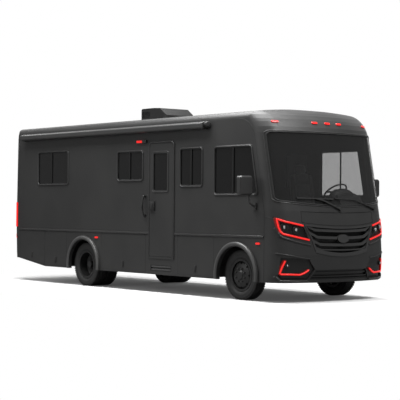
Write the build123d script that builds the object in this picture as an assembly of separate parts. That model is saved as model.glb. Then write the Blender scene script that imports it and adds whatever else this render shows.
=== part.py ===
from build123d import *
from functools import lru_cache
import math
import os

# Motorhome on a truck chassis, in millimetres.
# X points forward, Y to the driver's side, Z up, and the ground is Z = 0.

# Body shell
HALF_WIDTH = 1285.0
WALL_T = 45.0
SKIRT_T = 40.0
CAP_T = 45.0
ROOF_T = 60.0
BELT_Z = 1085.0
WALL_TOP_Z = 3100.0
ROOF_EDGE_Z = 3226.0
ROOF_CROWN_Z = 3290.0
COVE_R = 126.0
REAR_SEAM_X = -4150.0
CAP_SEAM_X = 3775.0
CAP_ROOF_SEAM_X = 3119.0
SEAT_GAP = 0.3
SKIRT_BOTTOM_Z = 336.0
SKIRT_KINK_X = -3089.0
REAR_BOTTOM_Z = 480.0
# Blocks that cut or mask the body reach past it
WIDE = HALF_WIDTH + 115.0
HIGH = ROOF_CROWN_Z + 210.0

# Front bow in plan, and the front profile as height against the foremost point
BOW_R = 3400.0
CORNER_R = 360.0
FRONT_X = 4360.0
AHEAD_X = FRONT_X + 240.0
LOW = 200.0
SEAM_KNEE_Z = 1520.0
SEAM_TOP = (3520.0, 2790.0)
SEAM_BEND = (3428.0, 2976.0)
FRONT_RUN = 600.0
REAR_RUN = 300.0
CAP_TUBE_X = 2000.0
MASK_START_X = 3300.0
FRONT_PROFILE = (
    # height, setback from the foremost point
    (336, 70), (500, 15), (800, 0), (1260, 30), (1530, 73), (2850, 346), (2950, 385),
    (3035, 440), (3090, 490), (3160, 575), (3210, 665), (3250, 770), (3282, 900), (3305, 1100),
)
# Rear cap
REAR_BOW_R = 20000.0
REAR_CORNER_R = 90.0
REAR_X = -4357.0
REAR_PROFILE = (
    # height, setback from the rearmost point
    (480, 34), (600, 20), (1060, 0), (1710, 7), (3000, 40), (3100, 56), (3180, 90),
    (3240, 135), (3280, 190), (3305, 260),
)

# Chassis
FLOOR_Z = 1010.0
FLOOR_T = 60.0
RAIL_Y = 400.0
RAIL_W = 70.0
RAIL_TOP_Z = 880.0
RAIL_H = 220.0
RAIL_WALL = 10.0
RAIL_FRONT_X = 4040.0
FLOOR_FRONT_X = 4014.0
RAIL_REAR_X = -4240.0
CROSS_XS = (-4205.0, -3200.0, -2450.0, -700.0, 700.0, 1900.0, 3990.0)
CROSS_W = 70.0
CROSS_H = 140.0
CROSS_WALL = 8.0

# Wheels
TYRE_R = 426.0
TYRE_W = 235.0
RIM_R = 250.0
FLANGE_R = 278.0
RIM_T = 10.0
FRONT_AXLE_X = 3066.0
REAR_AXLE_X = -1652.0
FRONT_OUTER_Y = 1195.0
REAR_OUTER_Y = 1228.0
DUAL_PITCH = 268.0
SPINDLE_R = 32.0
HUB_R = 84.0
KINGPIN_Y = 940.0
KINGPIN_R = 22.0
KNUCKLE_H = 170.0
AXLE_EYE_H = 80.0
PIN_GAP = 1.0
ARCH_R = 495.0
FLARE_R = 575.0
FLARE_PROUD = 34.0

# Entry door
DOOR_FRAME_REAR_X = 530.0
DOOR_FRAME_FRONT_X = 1317.0
DOOR_FRAME_LOW_Z = 630.0
DOOR_FRAME_TOP_Z = 2794.0
DOOR_FRAME_W = 38.0
DOOR_GAP = 6.0
DOOR_T = 42.0
DOOR_PROUD = 12.0
DOOR_CORNER_R = 90.0
DOOR_WINDOW = (666.0, 1141.0, 1860.0, 2600.0)
DOOR_WINDOW_W = 30.0

# Side windows on both walls
WINDOW_FRAME_W = 30.0
WINDOW_PROUD = 10.0
WINDOW_CORNER_R = 62.0
GLASS_T = 8.0
MULLION_W = 26.0
WINDOWS = (
    # rear edge, front edge at the head, front edge at the sill, sill, head, mullion
    (-3400, -2210, -2210, 2010, 2720, -2857),
    (-510, 353, 353, 2060, 2648, -84),
    (1463, 2138, 2138, 1937, 2653, 1805),
    (2440, 3458, 3630, 1785, 2650, 2966),
)

# Storage bays, the same on both sides
BAYS = (
    # rear edge, front edge
    (-4118, -3118),
    (-3098, -2277),
    (-1031, 440),
    (1413, 2453),
)
BAY_TOP_Z = 1068.0
BAY_LOW_Z = 372.0
BAY_DEPTH = 700.0
BAY_WALL_T = 9.0
BAY_DOOR_T = 30.0
BAY_GAP = 6.0
LATCH_H = 125.0
LATCH_W = 60.0
LATCH_UP = 56.0
LATCH_R = 14.0
LATCH_PROUD = 8.0


def box(x0, x1, y0, y1, z0, z1):
    """A block between two corners."""
    return Pos((x0 + x1) / 2, (y0 + y1) / 2, (z0 + z1) / 2) * Box(x1 - x0, y1 - y0, z1 - z0)


def polygon(points, radius=0.0):
    """A flat outline through the points, with one radius on its corners."""
    face = make_face(Polyline(*points, close=True))
    return fillet(face.vertices(), radius) if radius else face


def along_y(face, y0, y1):
    """An outline drawn in X and Z, made solid between two values of Y."""
    return Plane.XZ.offset(-y1) * extrude(face, y1 - y0)


def along_x(face, x0, x1):
    """An outline drawn in Y and Z, made solid between two values of X."""
    return Plane.YZ.offset(x0) * extrude(face, x1 - x0)


def rod(a, b, radius):
    """A round bar from one point to another."""
    start = Vector(*a)
    way = Vector(*b) - start
    return extrude(Plane(origin=start, z_dir=way) * Circle(radius), way.length)


def turn_about_y(points, y_axis_x, z_axis):
    """A ring turned about an axle: points are (distance along Y, radius)."""
    face = make_face(Polyline(*[(r, y) for y, r in points], close=True))
    ring = revolve(face, Axis.Y)
    return Pos(y_axis_x, 0, z_axis) * ring


def other_side(shape):
    """The same piece on the other side of the vehicle."""
    return mirror(shape, Plane.XZ)


def both_sides(shape):
    """A piece and its mirror image."""
    return Compound([*shape.solids(), *other_side(shape).solids()])


# Outer form of the coach

def moved_profile(rows, inset, tip_x):
    """Height and X of the centre line, set in by a wall thickness."""
    line = [(tip_x - setback, z) for z, setback in rows]
    moved = []
    for i, (x, z) in enumerate(line):
        before = line[max(i - 1, 0)]
        after = line[min(i + 1, len(line) - 1)]
        run = math.hypot(after[0] - before[0], after[1] - before[1])
        along = ((after[0] - before[0]) / run, (after[1] - before[1]) / run)
        moved.append((x - along[1] * inset, z + along[0] * inset))
    return moved


def plan_section(x_front, z, inset, x_back, bow_r, corner_r, half_width):
    """One level of the body in plan: straight sides, round corners and a bowed front."""
    half = half_width - inset
    corner = max(corner_r - inset, 5.0)
    bow = bow_r - inset
    side_y = half - corner
    angle = math.asin(side_y / (bow - corner))
    centre_x = x_front - bow
    corner_x = centre_x + (bow - corner) * math.cos(angle)
    tangent = (centre_x + bow * math.cos(angle), bow * math.sin(angle))
    middle_angle = (angle + math.pi / 2) / 2
    middle = (corner_x + corner * math.cos(middle_angle), side_y + corner * math.sin(middle_angle))
    edges = [
        Line((x_back, -half), (corner_x, -half)),
        ThreePointArc((corner_x, -half), (middle[0], -middle[1]), (tangent[0], -tangent[1])),
        ThreePointArc((tangent[0], -tangent[1]), (x_front, 0), tangent),
        ThreePointArc(tangent, middle, (corner_x, half)),
        Line((corner_x, half), (x_back, half)),
        Line((x_back, half), (x_back, -half)),
    ]
    return Pos(0, 0, z) * make_face(edges)


def coach_section(inset, roof_inset):
    """The body across its width, with its coved and crowned roof."""
    half = HALF_WIDTH - inset
    edge_z = ROOF_EDGE_Z - roof_inset
    crown_z = ROOF_CROWN_Z - roof_inset
    cove = COVE_R - inset * 0.6
    turn = math.sqrt(0.5) * cove
    side_z = edge_z - cove
    shoulder_y = half - cove
    outline = [
        Line((-half, 0), (half, 0)),
        Line((half, 0), (half, side_z)),
        ThreePointArc((half, side_z), (shoulder_y + turn, side_z + turn), (shoulder_y, edge_z)),
        ThreePointArc((shoulder_y, edge_z), (0, crown_z), (-shoulder_y, edge_z)),
        ThreePointArc((-shoulder_y, edge_z), (-shoulder_y - turn, side_z + turn), (-half, side_z)),
        Line((-half, side_z), (-half, 0)),
    ]
    return make_face(outline)


def coach_tube(inset, roof_inset, x0, x1):
    """The body's cross-section run along the coach."""
    return along_x(coach_section(inset, roof_inset), x0, x1)


@lru_cache(maxsize=None)
def front_form(inset):
    """The rounded front of the coach, set in by a thickness, without the roof's cove."""
    rows = moved_profile(FRONT_PROFILE, inset, FRONT_X)
    first_x, first_z = rows[0]
    rows[0] = (first_x, first_z - 60.0) if inset else (first_x, first_z)
    back = CAP_ROOF_SEAM_X - FRONT_RUN
    sections = [
        plan_section(x, z, inset, back, BOW_R, CORNER_R, HALF_WIDTH) for x, z in rows
    ]
    return Solid.make_loft([s.face().outer_wire() for s in sections], ruled=True)


def front_skin(outer, inner, mask):
    """A piece of the front's skin between two depths, inside a block that masks it."""
    return (mask & front_form(outer)) - front_form(inner)


def face_mask(face, start=MASK_START_X):
    """A front outline drawn in Y and Z, as a block that reaches through the front."""
    return along_x(face, start, AHEAD_X)


def rear_form(inset):
    """The rear cap's form, set in by a thickness."""
    rows = moved_profile(REAR_PROFILE, inset, -REAR_X)
    if inset:
        rows[0] = (rows[0][0], rows[0][1] - 60.0)
    back = -REAR_SEAM_X - REAR_RUN
    sections = [
        plan_section(x, z, inset, back, REAR_BOW_R, REAR_CORNER_R, HALF_WIDTH) for x, z in rows
    ]
    form = Solid.make_loft([s.face().outer_wire() for s in sections], ruled=True)
    return Rot(0, 0, 180) * form


# Outlines on the sides

def front_of_seam():
    """What lies ahead of the joint between the walls, the roof and the front cap."""
    edges = [
        Line((CAP_SEAM_X, LOW), (CAP_SEAM_X, SEAM_KNEE_Z)),
        Line((CAP_SEAM_X, SEAM_KNEE_Z), SEAM_TOP),
        ThreePointArc(SEAM_TOP, SEAM_BEND, (CAP_ROOF_SEAM_X, WALL_TOP_Z)),
        Line((CAP_ROOF_SEAM_X, WALL_TOP_Z), (CAP_ROOF_SEAM_X, HIGH)),
        Line((CAP_ROOF_SEAM_X, HIGH), (AHEAD_X, HIGH)),
        Line((AHEAD_X, HIGH), (AHEAD_X, LOW)),
        Line((AHEAD_X, LOW), (CAP_SEAM_X, LOW)),
    ]
    return make_face(edges)


def window_outline(row, inset, radius):
    """One side window's outline, set in by a width."""
    rear, front_head, front_sill, sill, head, _ = row
    slant = (front_sill - front_head) / (head - sill)
    side = inset * math.hypot(1, slant)
    points = [
        (rear + inset, sill + inset),
        (front_sill - side - slant * inset, sill + inset),
        (front_head - side + slant * inset, head - inset),
        (rear + inset, head - inset),
    ]
    return polygon(points, radius)


def door_outline(inset):
    """The door frame's outline, set in by a width."""
    rear = DOOR_FRAME_REAR_X + inset
    front = DOOR_FRAME_FRONT_X - inset
    low = DOOR_FRAME_LOW_Z + inset
    top = DOOR_FRAME_TOP_Z - inset
    face = polygon([(rear, low), (front, low), (front, top), (rear, top)])
    corners = face.vertices().sort_by(Axis.Y)[2:]
    return fillet(corners, DOOR_CORNER_R - inset * 0.5)


def skirt_low_z(x):
    """Height of the lower edge of the body at a place along it."""
    if x >= SKIRT_KINK_X:
        return SKIRT_BOTTOM_Z
    share = (SKIRT_KINK_X - x) / (SKIRT_KINK_X - REAR_SEAM_X)
    return SKIRT_BOTTOM_Z + share * (REAR_BOTTOM_Z - SKIRT_BOTTOM_Z)


def bay_outline(row, inset):
    """One storage bay's opening, whose lower edge follows the body's lower edge."""
    rear, front = row
    lift = BAY_LOW_Z - SKIRT_BOTTOM_Z
    points = [
        (rear + inset, skirt_low_z(rear) + lift + inset),
        (front - inset, skirt_low_z(front) + lift + inset),
        (front - inset, BAY_TOP_Z - inset),
        (rear + inset, BAY_TOP_Z - inset),
    ]
    return polygon(points)


# Walls, skirts, roof and caps

def side_wall():
    """The plain wall between belt and roof on the right side, with its windows cut."""
    sheet = polygon([(REAR_SEAM_X, BELT_Z), (4600, BELT_Z), (4600, WALL_TOP_Z), (REAR_SEAM_X, WALL_TOP_Z)])
    wall = along_y(sheet - front_of_seam(), -HALF_WIDTH, -HALF_WIDTH + WALL_T)
    for row in WINDOWS:
        hole = window_outline(row, -SEAT_GAP, WINDOW_CORNER_R)
        wall = wall - along_y(hole, -HALF_WIDTH - 20, -HALF_WIDTH + WALL_T + 20)
    return wall


def doorway_block():
    """What the door frame takes out of the wall and the skirt."""
    return along_y(door_outline(-SEAT_GAP), -HALF_WIDTH - 60, -HALF_WIDTH + WALL_T + 20)


def side_skirt():
    """The lower body side on the right, with its wheel arches, flares and bay openings."""
    points = [
        (REAR_SEAM_X, REAR_BOTTOM_Z), (SKIRT_KINK_X, SKIRT_BOTTOM_Z),
        (CAP_SEAM_X, SKIRT_BOTTOM_Z), (CAP_SEAM_X, BELT_Z), (REAR_SEAM_X, BELT_Z),
    ]
    skirt = along_y(polygon(points), -HALF_WIDTH, -HALF_WIDTH + SKIRT_T)
    for row in BAYS:
        skirt = skirt - along_y(bay_outline(row, 0), -HALF_WIDTH - 20, -HALF_WIDTH + SKIRT_T + 20)
    for axle_x in (FRONT_AXLE_X, REAR_AXLE_X):
        ring = Pos(axle_x, TYRE_R) * Circle(FLARE_R)
        lip = along_y(ring, -HALF_WIDTH - FLARE_PROUD, -HALF_WIDTH + 1)
        inner_y = -HALF_WIDTH + SKIRT_T
        below = box(axle_x - FLARE_R, axle_x + FLARE_R, -WIDE, inner_y, -FLARE_R, SKIRT_BOTTOM_Z)
        skirt = skirt + (lip - below)
        hole = Pos(axle_x, TYRE_R) * Circle(ARCH_R)
        skirt = skirt - along_y(hole, -HALF_WIDTH - 60, -HALF_WIDTH + SKIRT_T + 20)
    return skirt


def roof_panel():
    """The crowned roof between the two caps."""
    shell = coach_tube(0, 0, REAR_SEAM_X, FRONT_X) - coach_tube(WALL_T, ROOF_T, REAR_X, AHEAD_X)
    above = box(REAR_SEAM_X, CAP_ROOF_SEAM_X, -WIDE, WIDE, WALL_TOP_Z, HIGH)
    return shell & above


WINDSHIELD = (
    # Y, Z of the lower edge, then the top, on the right half
    (1214, 1716), (0, 1632), (2852, 70),
)


def windshield_outline(inset):
    """The windshield seen from the front, with its lower edge curved."""
    (corner_y, corner_z), (_, middle_z), (top_z, radius) = WINDSHIELD
    half = corner_y - inset
    edges = [
        ThreePointArc((-half, corner_z + inset), (0, middle_z + inset), (half, corner_z + inset)),
        Line((half, corner_z + inset), (half, top_z - inset)),
        Line((half, top_z - inset), (-half, top_z - inset)),
        Line((-half, top_z - inset), (-half, corner_z + inset)),
    ]
    face = make_face(edges)
    return fillet(face.vertices(), radius)


GRILLE_TOP = (800.0, 1312.0, 1262.0)
GRILLE_WAIST = (672.0, 1053.0)
GRILLE_LOW = (596.0, 842.0, 768.0)
GRILLE_LIP = 64.0
GRILLE_FRAME = 26.0
HOOD_TOP = (836.0, 1528.0, 1506.0)
HOOD_LOW = (836.0, 1340.0, 1284.0)


def grille_outline(inset, lip):
    """The grille seen from the front, set in by a width, and more at its lower lip."""
    top_y, top_z, top_mid = GRILLE_TOP
    waist_y, waist_z = GRILLE_WAIST
    low_y, low_z, low_mid = GRILLE_LOW
    top_y, waist_y, low_y = top_y - inset * 1.3, waist_y - inset, low_y - inset * 0.6
    edges = [
        ThreePointArc((-top_y, top_z - inset), (0, top_mid - inset), (top_y, top_z - inset)),
        Line((top_y, top_z - inset), (waist_y, waist_z)),
        Line((waist_y, waist_z), (low_y, low_z + lip)),
        ThreePointArc((low_y, low_z + lip), (0, low_mid + lip), (-low_y, low_z + lip)),
        Line((-low_y, low_z + lip), (-waist_y, waist_z)),
        Line((-waist_y, waist_z), (-top_y, top_z - inset)),
    ]
    return make_face(edges)


def hood_outline(inset):
    """The access lid above the grille, seen from the front."""
    top_y, top_z, top_mid = HOOD_TOP
    low_y, low_z, low_mid = HOOD_LOW
    top_y, low_y = top_y - inset, low_y - inset
    edges = [
        ThreePointArc((-top_y, top_z - inset), (0, top_mid - inset), (top_y, top_z - inset)),
        Line((top_y, top_z - inset), (low_y, low_z + inset)),
        ThreePointArc((low_y, low_z + inset), (0, low_mid + inset), (-low_y, low_z + inset)),
        Line((-low_y, low_z + inset), (-top_y, top_z - inset)),
    ]
    return make_face(edges)


LAMP_START_X = 3880.0
HEADLAMP = (
    (-1251, 1428), (-818, 1291), (-708, 1030), (-1085, 1108), (-1176, 1132), (-1222, 1190), (-1241, 1300),
)
FOG_POCKET = ((-1192, 762), (-985, 749), (-716, 722), (-602, 560), (-712, 398), (-1164, 404), (-1214, 455))
INTAKE = ((-588, 552), (588, 552), (690, 392), (-690, 392))


def headlamp_outline(inset):
    """The right headlamp seen from the front."""
    return offset(polygon(HEADLAMP), amount=-inset, kind=Kind.INTERSECTION) if inset else polygon(HEADLAMP)


def fog_outline(inset):
    """The right fog lamp pocket seen from the front."""
    pocket = polygon(FOG_POCKET)
    return offset(pocket, amount=-inset, kind=Kind.INTERSECTION) if inset else pocket


def band(points, width):
    """A strip of one width along a bent line, with round ends, seen from the front."""
    strip = None
    for (y0, z0), (y1, z1) in zip(points, points[1:]):
        tilt = math.degrees(math.atan2(z1 - z0, y1 - y0))
        slot = SlotCenterToCenter(math.hypot(y1 - y0, z1 - z0), width)
        piece = Pos((y0 + y1) / 2, (z0 + z1) / 2) * Rot(0, 0, tilt) * slot
        strip = piece if strip is None else strip + piece
    return strip


RIDGE_ROOT = 20.0
FRONT_RIDGES = (
    # line along the right half of the front, width, height over the skin
    (((-1236, 1236), (-1192, 1116), (-1140, 1082), (-960, 1024), (-700, 968)), 34, 9),
    (((-1240, 828), (-1069, 796), (-804, 748), (-700, 742)), 22, 8),
    (((-1234, 436), (-1186, 374), (-946, 366), (-730, 366)), 40, 12),
)


def front_cap():
    """The moulded front shell with its openings and raised ridges."""
    shape = front_form(0) & coach_tube(0, 0, CAP_TUBE_X, AHEAD_X)
    shape = shape - (front_form(CAP_T) & coach_tube(CAP_T, ROOF_T, CAP_TUBE_X - CAP_T, AHEAD_X))
    cap = shape & along_y(front_of_seam(), -WIDE, WIDE)
    for points, width, proud in FRONT_RIDGES:
        ridge = front_skin(-proud, RIDGE_ROOT, face_mask(band(points, width), LAMP_START_X))
        cap = cap + ridge + other_side(ridge)
    openings = [windshield_outline(0), grille_outline(0, 0), hood_outline(0), polygon(INTAKE)]
    for outline in openings:
        cap = cap - face_mask(outline)
    for outline in (headlamp_outline(0), fog_outline(0)):
        cap = cap - face_mask(outline, LAMP_START_X)
        cap = cap - other_side(face_mask(outline, LAMP_START_X))
    return cap


PLATE_POCKET = (180.0, 690.0, 850.0)
PLATE_DEPTH = 22.0
BUMPER_GROOVE = (905.0, 925.0)
GROOVE_DEPTH = 12.0


def rear_cap():
    """The moulded rear shell with the pocket for a number plate and a groove above the bumper."""
    beyond = REAR_X - 250
    shape = rear_form(0) & coach_tube(0, 0, beyond, 0)
    shape = shape - (rear_form(CAP_T) & coach_tube(CAP_T, ROOF_T, beyond, 0))
    half, low, high = PLATE_POCKET
    pocket = box(beyond, REAR_SEAM_X, -half, half, low, high) - rear_form(PLATE_DEPTH)
    low, high = BUMPER_GROOVE
    groove = box(beyond, REAR_SEAM_X + 1, -WIDE, WIDE, low, high) - rear_form(GROOVE_DEPTH)
    return (shape & box(beyond, REAR_SEAM_X, -WIDE, WIDE, 0, HIGH)) - pocket - groove


WINDSHIELD_DEPTH = (4.0, 14.0)
HOOD_T = 25.0
HOOD_GAP = 6.0
HOOD_HINGE_HALF = 140.0


def windshield():
    """The curved glass in front."""
    outer, inner = WINDSHIELD_DEPTH
    return front_skin(outer, inner, face_mask(windshield_outline(SEAT_GAP)))


def hood_lid():
    """The lid over the engine's service points."""
    lid = front_skin(0, HOOD_T, face_mask(hood_outline(HOOD_GAP)))
    pin_z = HOOD_TOP[2] - HOOD_GAP / 2
    pin_x = front_x(pin_z)
    radius = hinge_radius(HOOD_GAP)
    hinge = rod((pin_x, -HOOD_HINGE_HALF, pin_z), (pin_x, HOOD_HINGE_HALF, pin_z), radius)
    tab = box(pin_x - 2 * radius, pin_x, -HOOD_HINGE_HALF, HOOD_HINGE_HALF, pin_z - HOOD_GAP / 2 - 2, pin_z)
    return lid + hinge + tab


def front_x(z):
    """Where the front's middle line lies at a height."""
    for (low_z, low_back), (high_z, high_back) in zip(FRONT_PROFILE, FRONT_PROFILE[1:]):
        if low_z <= z <= high_z:
            share = (z - low_z) / (high_z - low_z)
            return FRONT_X - low_back - share * (high_back - low_back)
    return FRONT_X


GRILLE_DEPTH = (-8.0, 50.0)
BAR_DEPTH = (6.0, 40.0)
BARS = (
    # width, height at the middle, then Y and Z where the end turns up, then Y and Z of the end
    (46, 1200, 600, 1219, 792, 1312),
    (46, 1082, 548, 1098, 712, 1176),
    (46, 964, 500, 977, 668, 1050),
    (22, 880, 470, 890, 632, 940),
)
BADGE_Z = 1071.0
BADGE_HALF = (131.0, 71.0)
BADGE_DEPTH = (-10.0, 30.0)


def bar_outline(row):
    """One bar of the grille, bowed and turned up at both ends, seen from the front."""
    width, middle_z, knee_y, knee_z, end_y, end_z = row
    up = width / 2
    edges = []
    for side in (1, -1):
        rise = side * up
        edges.extend([
            ThreePointArc((-knee_y, knee_z + rise), (0, middle_z + rise), (knee_y, knee_z + rise)),
            Line((knee_y, knee_z + rise), (end_y, end_z + rise)),
            Line((-knee_y, knee_z + rise), (-end_y, end_z + rise)),
            Line((side * end_y, end_z - up), (side * end_y, end_z + up)),
        ])
    return make_face(Wire(edges))


def grille():
    """The frame, its curved bars and a plain oval badge."""
    ring = grille_outline(SEAT_GAP, SEAT_GAP) - grille_outline(GRILLE_FRAME, GRILLE_LIP)
    shape = front_skin(*GRILLE_DEPTH, face_mask(ring))
    for row in BARS:
        bar = bar_outline(row) & grille_outline(GRILLE_FRAME / 2, GRILLE_LIP / 2)
        shape = shape + front_skin(*BAR_DEPTH, face_mask(bar))
    badge = Pos(0, BADGE_Z) * Ellipse(*BADGE_HALF)
    return shape + front_skin(*BADGE_DEPTH, face_mask(badge))


LAMP_LENS_DEPTH = (2.0, 8.0)
LAMP_BEZEL_DEPTH = (36.0, 80.0)
LAMP_EYES = (
    # Y, Z, radius
    (-1128, 1262, 62), (-938, 1222, 62),
)
FOG_BACK_DEPTH = (34.0, 60.0)
FOG_EYE = (-1096, 632, 36)
LAMP_EYE_DEPTH = 14.0
FOG_EYE_DEPTH = 8.0


def lamp_eye(y, z, radius, outer, inner):
    """A round lamp that looks forward, between two depths of the front."""
    ring = Pos(y, z) * Circle(radius)
    return front_skin(outer, inner, face_mask(ring))


def headlamp_lenses():
    """The clear covers of both headlamps."""
    return both_sides(front_skin(*LAMP_LENS_DEPTH, face_mask(headlamp_outline(SEAT_GAP))))


def front_lamps():
    """The dark housings of the headlamps and the bumper lamps with their round lamps."""
    head = front_skin(*LAMP_BEZEL_DEPTH, face_mask(headlamp_outline(SEAT_GAP), LAMP_START_X))
    for y, z, radius in LAMP_EYES:
        head = head + lamp_eye(y, z, radius, LAMP_EYE_DEPTH, LAMP_BEZEL_DEPTH[1])
    low = front_skin(*FOG_BACK_DEPTH, face_mask(fog_outline(SEAT_GAP), LAMP_START_X))
    y, z, radius = FOG_EYE
    low = low + lamp_eye(y, z, radius, FOG_EYE_DEPTH, FOG_BACK_DEPTH[1])
    return both_sides(Compound([*head.solids(), *low.solids()]))


HEAD_LED = (
    (-817, 1290), (-944, 1318), (-1122, 1357), (-1226, 1402), (-1220, 1345), (-1212, 1259),
    (-1194, 1193), (-1159, 1152), (-1060, 1126), (-886, 1087), (-715, 1050),
)
FOG_LED = (
    (-1132, 703), (-1169, 600), (-1192, 500), (-1172, 485), (-1055, 483), (-877, 475), (-801, 501),
    (-719, 550),
)
HEAD_LED_W = 44.0
FOG_LED_W = 36.0
HEAD_LED_PROUD = 6.0
FOG_LED_TOP = 8.0


def led_strips():
    """The red light strips round the headlamps and in the bumper's pockets."""
    head = band(HEAD_LED, HEAD_LED_W) & headlamp_outline(SEAT_GAP)
    shape = front_skin(-HEAD_LED_PROUD, LAMP_LENS_DEPTH[0] - SEAT_GAP, face_mask(head, LAMP_START_X))
    fog = face_mask(band(FOG_LED, FOG_LED_W), LAMP_START_X)
    low = front_skin(FOG_LED_TOP, FOG_BACK_DEPTH[0] - SEAT_GAP, fog)
    return both_sides(Compound([*shape.solids(), *low.solids()]))


INTAKE_BARS = (440.0, 506.0)
INTAKE_DEPTH = (20.0, 50.0)
INTAKE_BACK_DEPTH = (49.0, 58.0)
INTAKE_BAR_H = 22.0
INTAKE_FRAME = 18.0


def air_intake():
    """The lower opening's frame with its bars."""
    hole = polygon(INTAKE)
    outer = offset(hole, amount=-SEAT_GAP, kind=Kind.INTERSECTION)
    ring = outer - offset(hole, amount=-INTAKE_FRAME, kind=Kind.INTERSECTION)
    shape = front_skin(*INTAKE_DEPTH, face_mask(ring))
    for z in INTAKE_BARS:
        strip = (Pos(0, z) * Rectangle(1400, INTAKE_BAR_H)) & offset(hole, amount=-9, kind=Kind.INTERSECTION)
        shape = shape + front_skin(*INTAKE_DEPTH, face_mask(strip))
    back = offset(hole, amount=-SEAT_GAP, kind=Kind.INTERSECTION)
    return shape + front_skin(*INTAKE_BACK_DEPTH, face_mask(back))


def window_frames():
    """The dark frames of the side windows, each with its mullion."""
    shapes = []
    for row in WINDOWS:
        ring = window_outline(row, 0, WINDOW_CORNER_R)
        ring = ring - window_outline(row, WINDOW_FRAME_W, WINDOW_CORNER_R - WINDOW_FRAME_W)
        _, _, _, sill, head, mullion = row
        frame = along_y(ring, -HALF_WIDTH - WINDOW_PROUD, -HALF_WIDTH + WALL_T)
        post = box(mullion - MULLION_W / 2, mullion + MULLION_W / 2,
                   -HALF_WIDTH - WINDOW_PROUD + 2, -HALF_WIDTH + 8, sill + 15, head - 15)
        shapes.append(frame + post)
    return both_sides(Compound(shapes))


def window_glass():
    """The panes of the side windows."""
    shapes = []
    for row in WINDOWS:
        pane = window_outline(row, WINDOW_FRAME_W + SEAT_GAP, WINDOW_CORNER_R - WINDOW_FRAME_W)
        y = -HALF_WIDTH + 8 + SEAT_GAP
        shapes.append(along_y(pane, y, y + GLASS_T))
    return both_sides(Compound(shapes))


def entry_door_frame():
    """The rounded frame round the entry door."""
    ring = door_outline(0) - door_outline(DOOR_FRAME_W)
    return along_y(ring, -HALF_WIDTH - DOOR_PROUD, -HALF_WIDTH + SKIRT_T)


def door_window(inset, radius):
    """The entry door's window, set in by a width."""
    rear, front, low, top = DOOR_WINDOW
    points = [(rear + inset, low + inset), (front - inset, low + inset),
              (front - inset, top - inset), (rear + inset, top - inset)]
    return polygon(points, radius)


HINGE_REACH = 60.0
DOOR_HANDLE = (596.0, 741.0, 1500.0, 1700.0)
GRIP_INSET = 22.0
GRIP_Z = (70.0, 130.0)
GRIP_R = 12.0
GRIP_PROUD = (10.0, 24.0)


def entry_door():
    """The door leaf with its window cut, the window's rim and the handle plate."""
    outer_y = -HALF_WIDTH - DOOR_PROUD
    leaf = along_y(door_outline(DOOR_FRAME_W + DOOR_GAP), outer_y, outer_y + DOOR_T)
    rim = along_y(door_window(0, 50), outer_y - 8, outer_y + DOOR_T)
    rear, front, low, top = DOOR_HANDLE
    dish = polygon([(rear, low), (front, low), (front, top), (rear, top)], GRIP_INSET)
    plate = along_y(dish, outer_y - GRIP_PROUD[0], outer_y + 1)
    grip_low, grip_top = low + GRIP_Z[0], low + GRIP_Z[1]
    left, right = rear + GRIP_INSET, front - GRIP_INSET
    bar = polygon([(left, grip_low), (right, grip_low), (right, grip_top), (left, grip_top)], GRIP_R)
    grip = along_y(bar, outer_y - GRIP_PROUD[1], outer_y - GRIP_PROUD[0] + 1)
    hole = along_y(door_window(DOOR_WINDOW_W, 24), outer_y - 40, outer_y + DOOR_T + 20)
    pin_x = DOOR_FRAME_FRONT_X - DOOR_FRAME_W - DOOR_GAP / 2
    low = DOOR_FRAME_LOW_Z + DOOR_FRAME_W + DOOR_GAP + HINGE_REACH
    top = DOOR_FRAME_TOP_Z - DOOR_CORNER_R - HINGE_REACH
    radius = hinge_radius(DOOR_GAP)
    hinge = rod((pin_x, outer_y, low), (pin_x, outer_y, top), radius)
    tab = box(pin_x - DOOR_GAP / 2 - 1, pin_x, outer_y, outer_y + radius, low, top)
    return leaf + rim + plate + grip + hinge + tab - hole


def hinge_radius(gap):
    """The radius of a hinge's barrel that fills a gap but for its clearance."""
    return gap / 2 - SEAT_GAP


def entry_door_glass():
    """The pane in the entry door."""
    y = -HALF_WIDTH - DOOR_PROUD + 10
    return along_y(door_window(DOOR_WINDOW_W + SEAT_GAP, 24), y, y + GLASS_T)


def bay_door(row):
    """One storage bay's door on the right side, with its latch."""
    rear, front = row
    door = along_y(bay_outline(row, BAY_GAP), -HALF_WIDTH, -HALF_WIDTH + BAY_DOOR_T)
    middle = (rear + front) / 2
    low = skirt_low_z(middle) + BAY_LOW_Z - SKIRT_BOTTOM_Z + LATCH_UP
    left, right = middle - LATCH_W / 2, middle + LATCH_W / 2
    plate = polygon([(left, low), (right, low), (right, low + LATCH_H), (left, low + LATCH_H)], LATCH_R)
    latch = along_y(plate, -HALF_WIDTH - LATCH_PROUD, -HALF_WIDTH + 1)
    pin_z = BAY_TOP_Z - BAY_GAP / 2
    radius = hinge_radius(BAY_GAP)
    x0, x1 = rear + HINGE_REACH, front - HINGE_REACH
    hinge = rod((x0, -HALF_WIDTH, pin_z), (x1, -HALF_WIDTH, pin_z), radius)
    tab = box(x0, x1, -HALF_WIDTH, -HALF_WIDTH + radius, pin_z - BAY_GAP / 2 - 1, pin_z)
    return door + latch + hinge + tab


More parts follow.
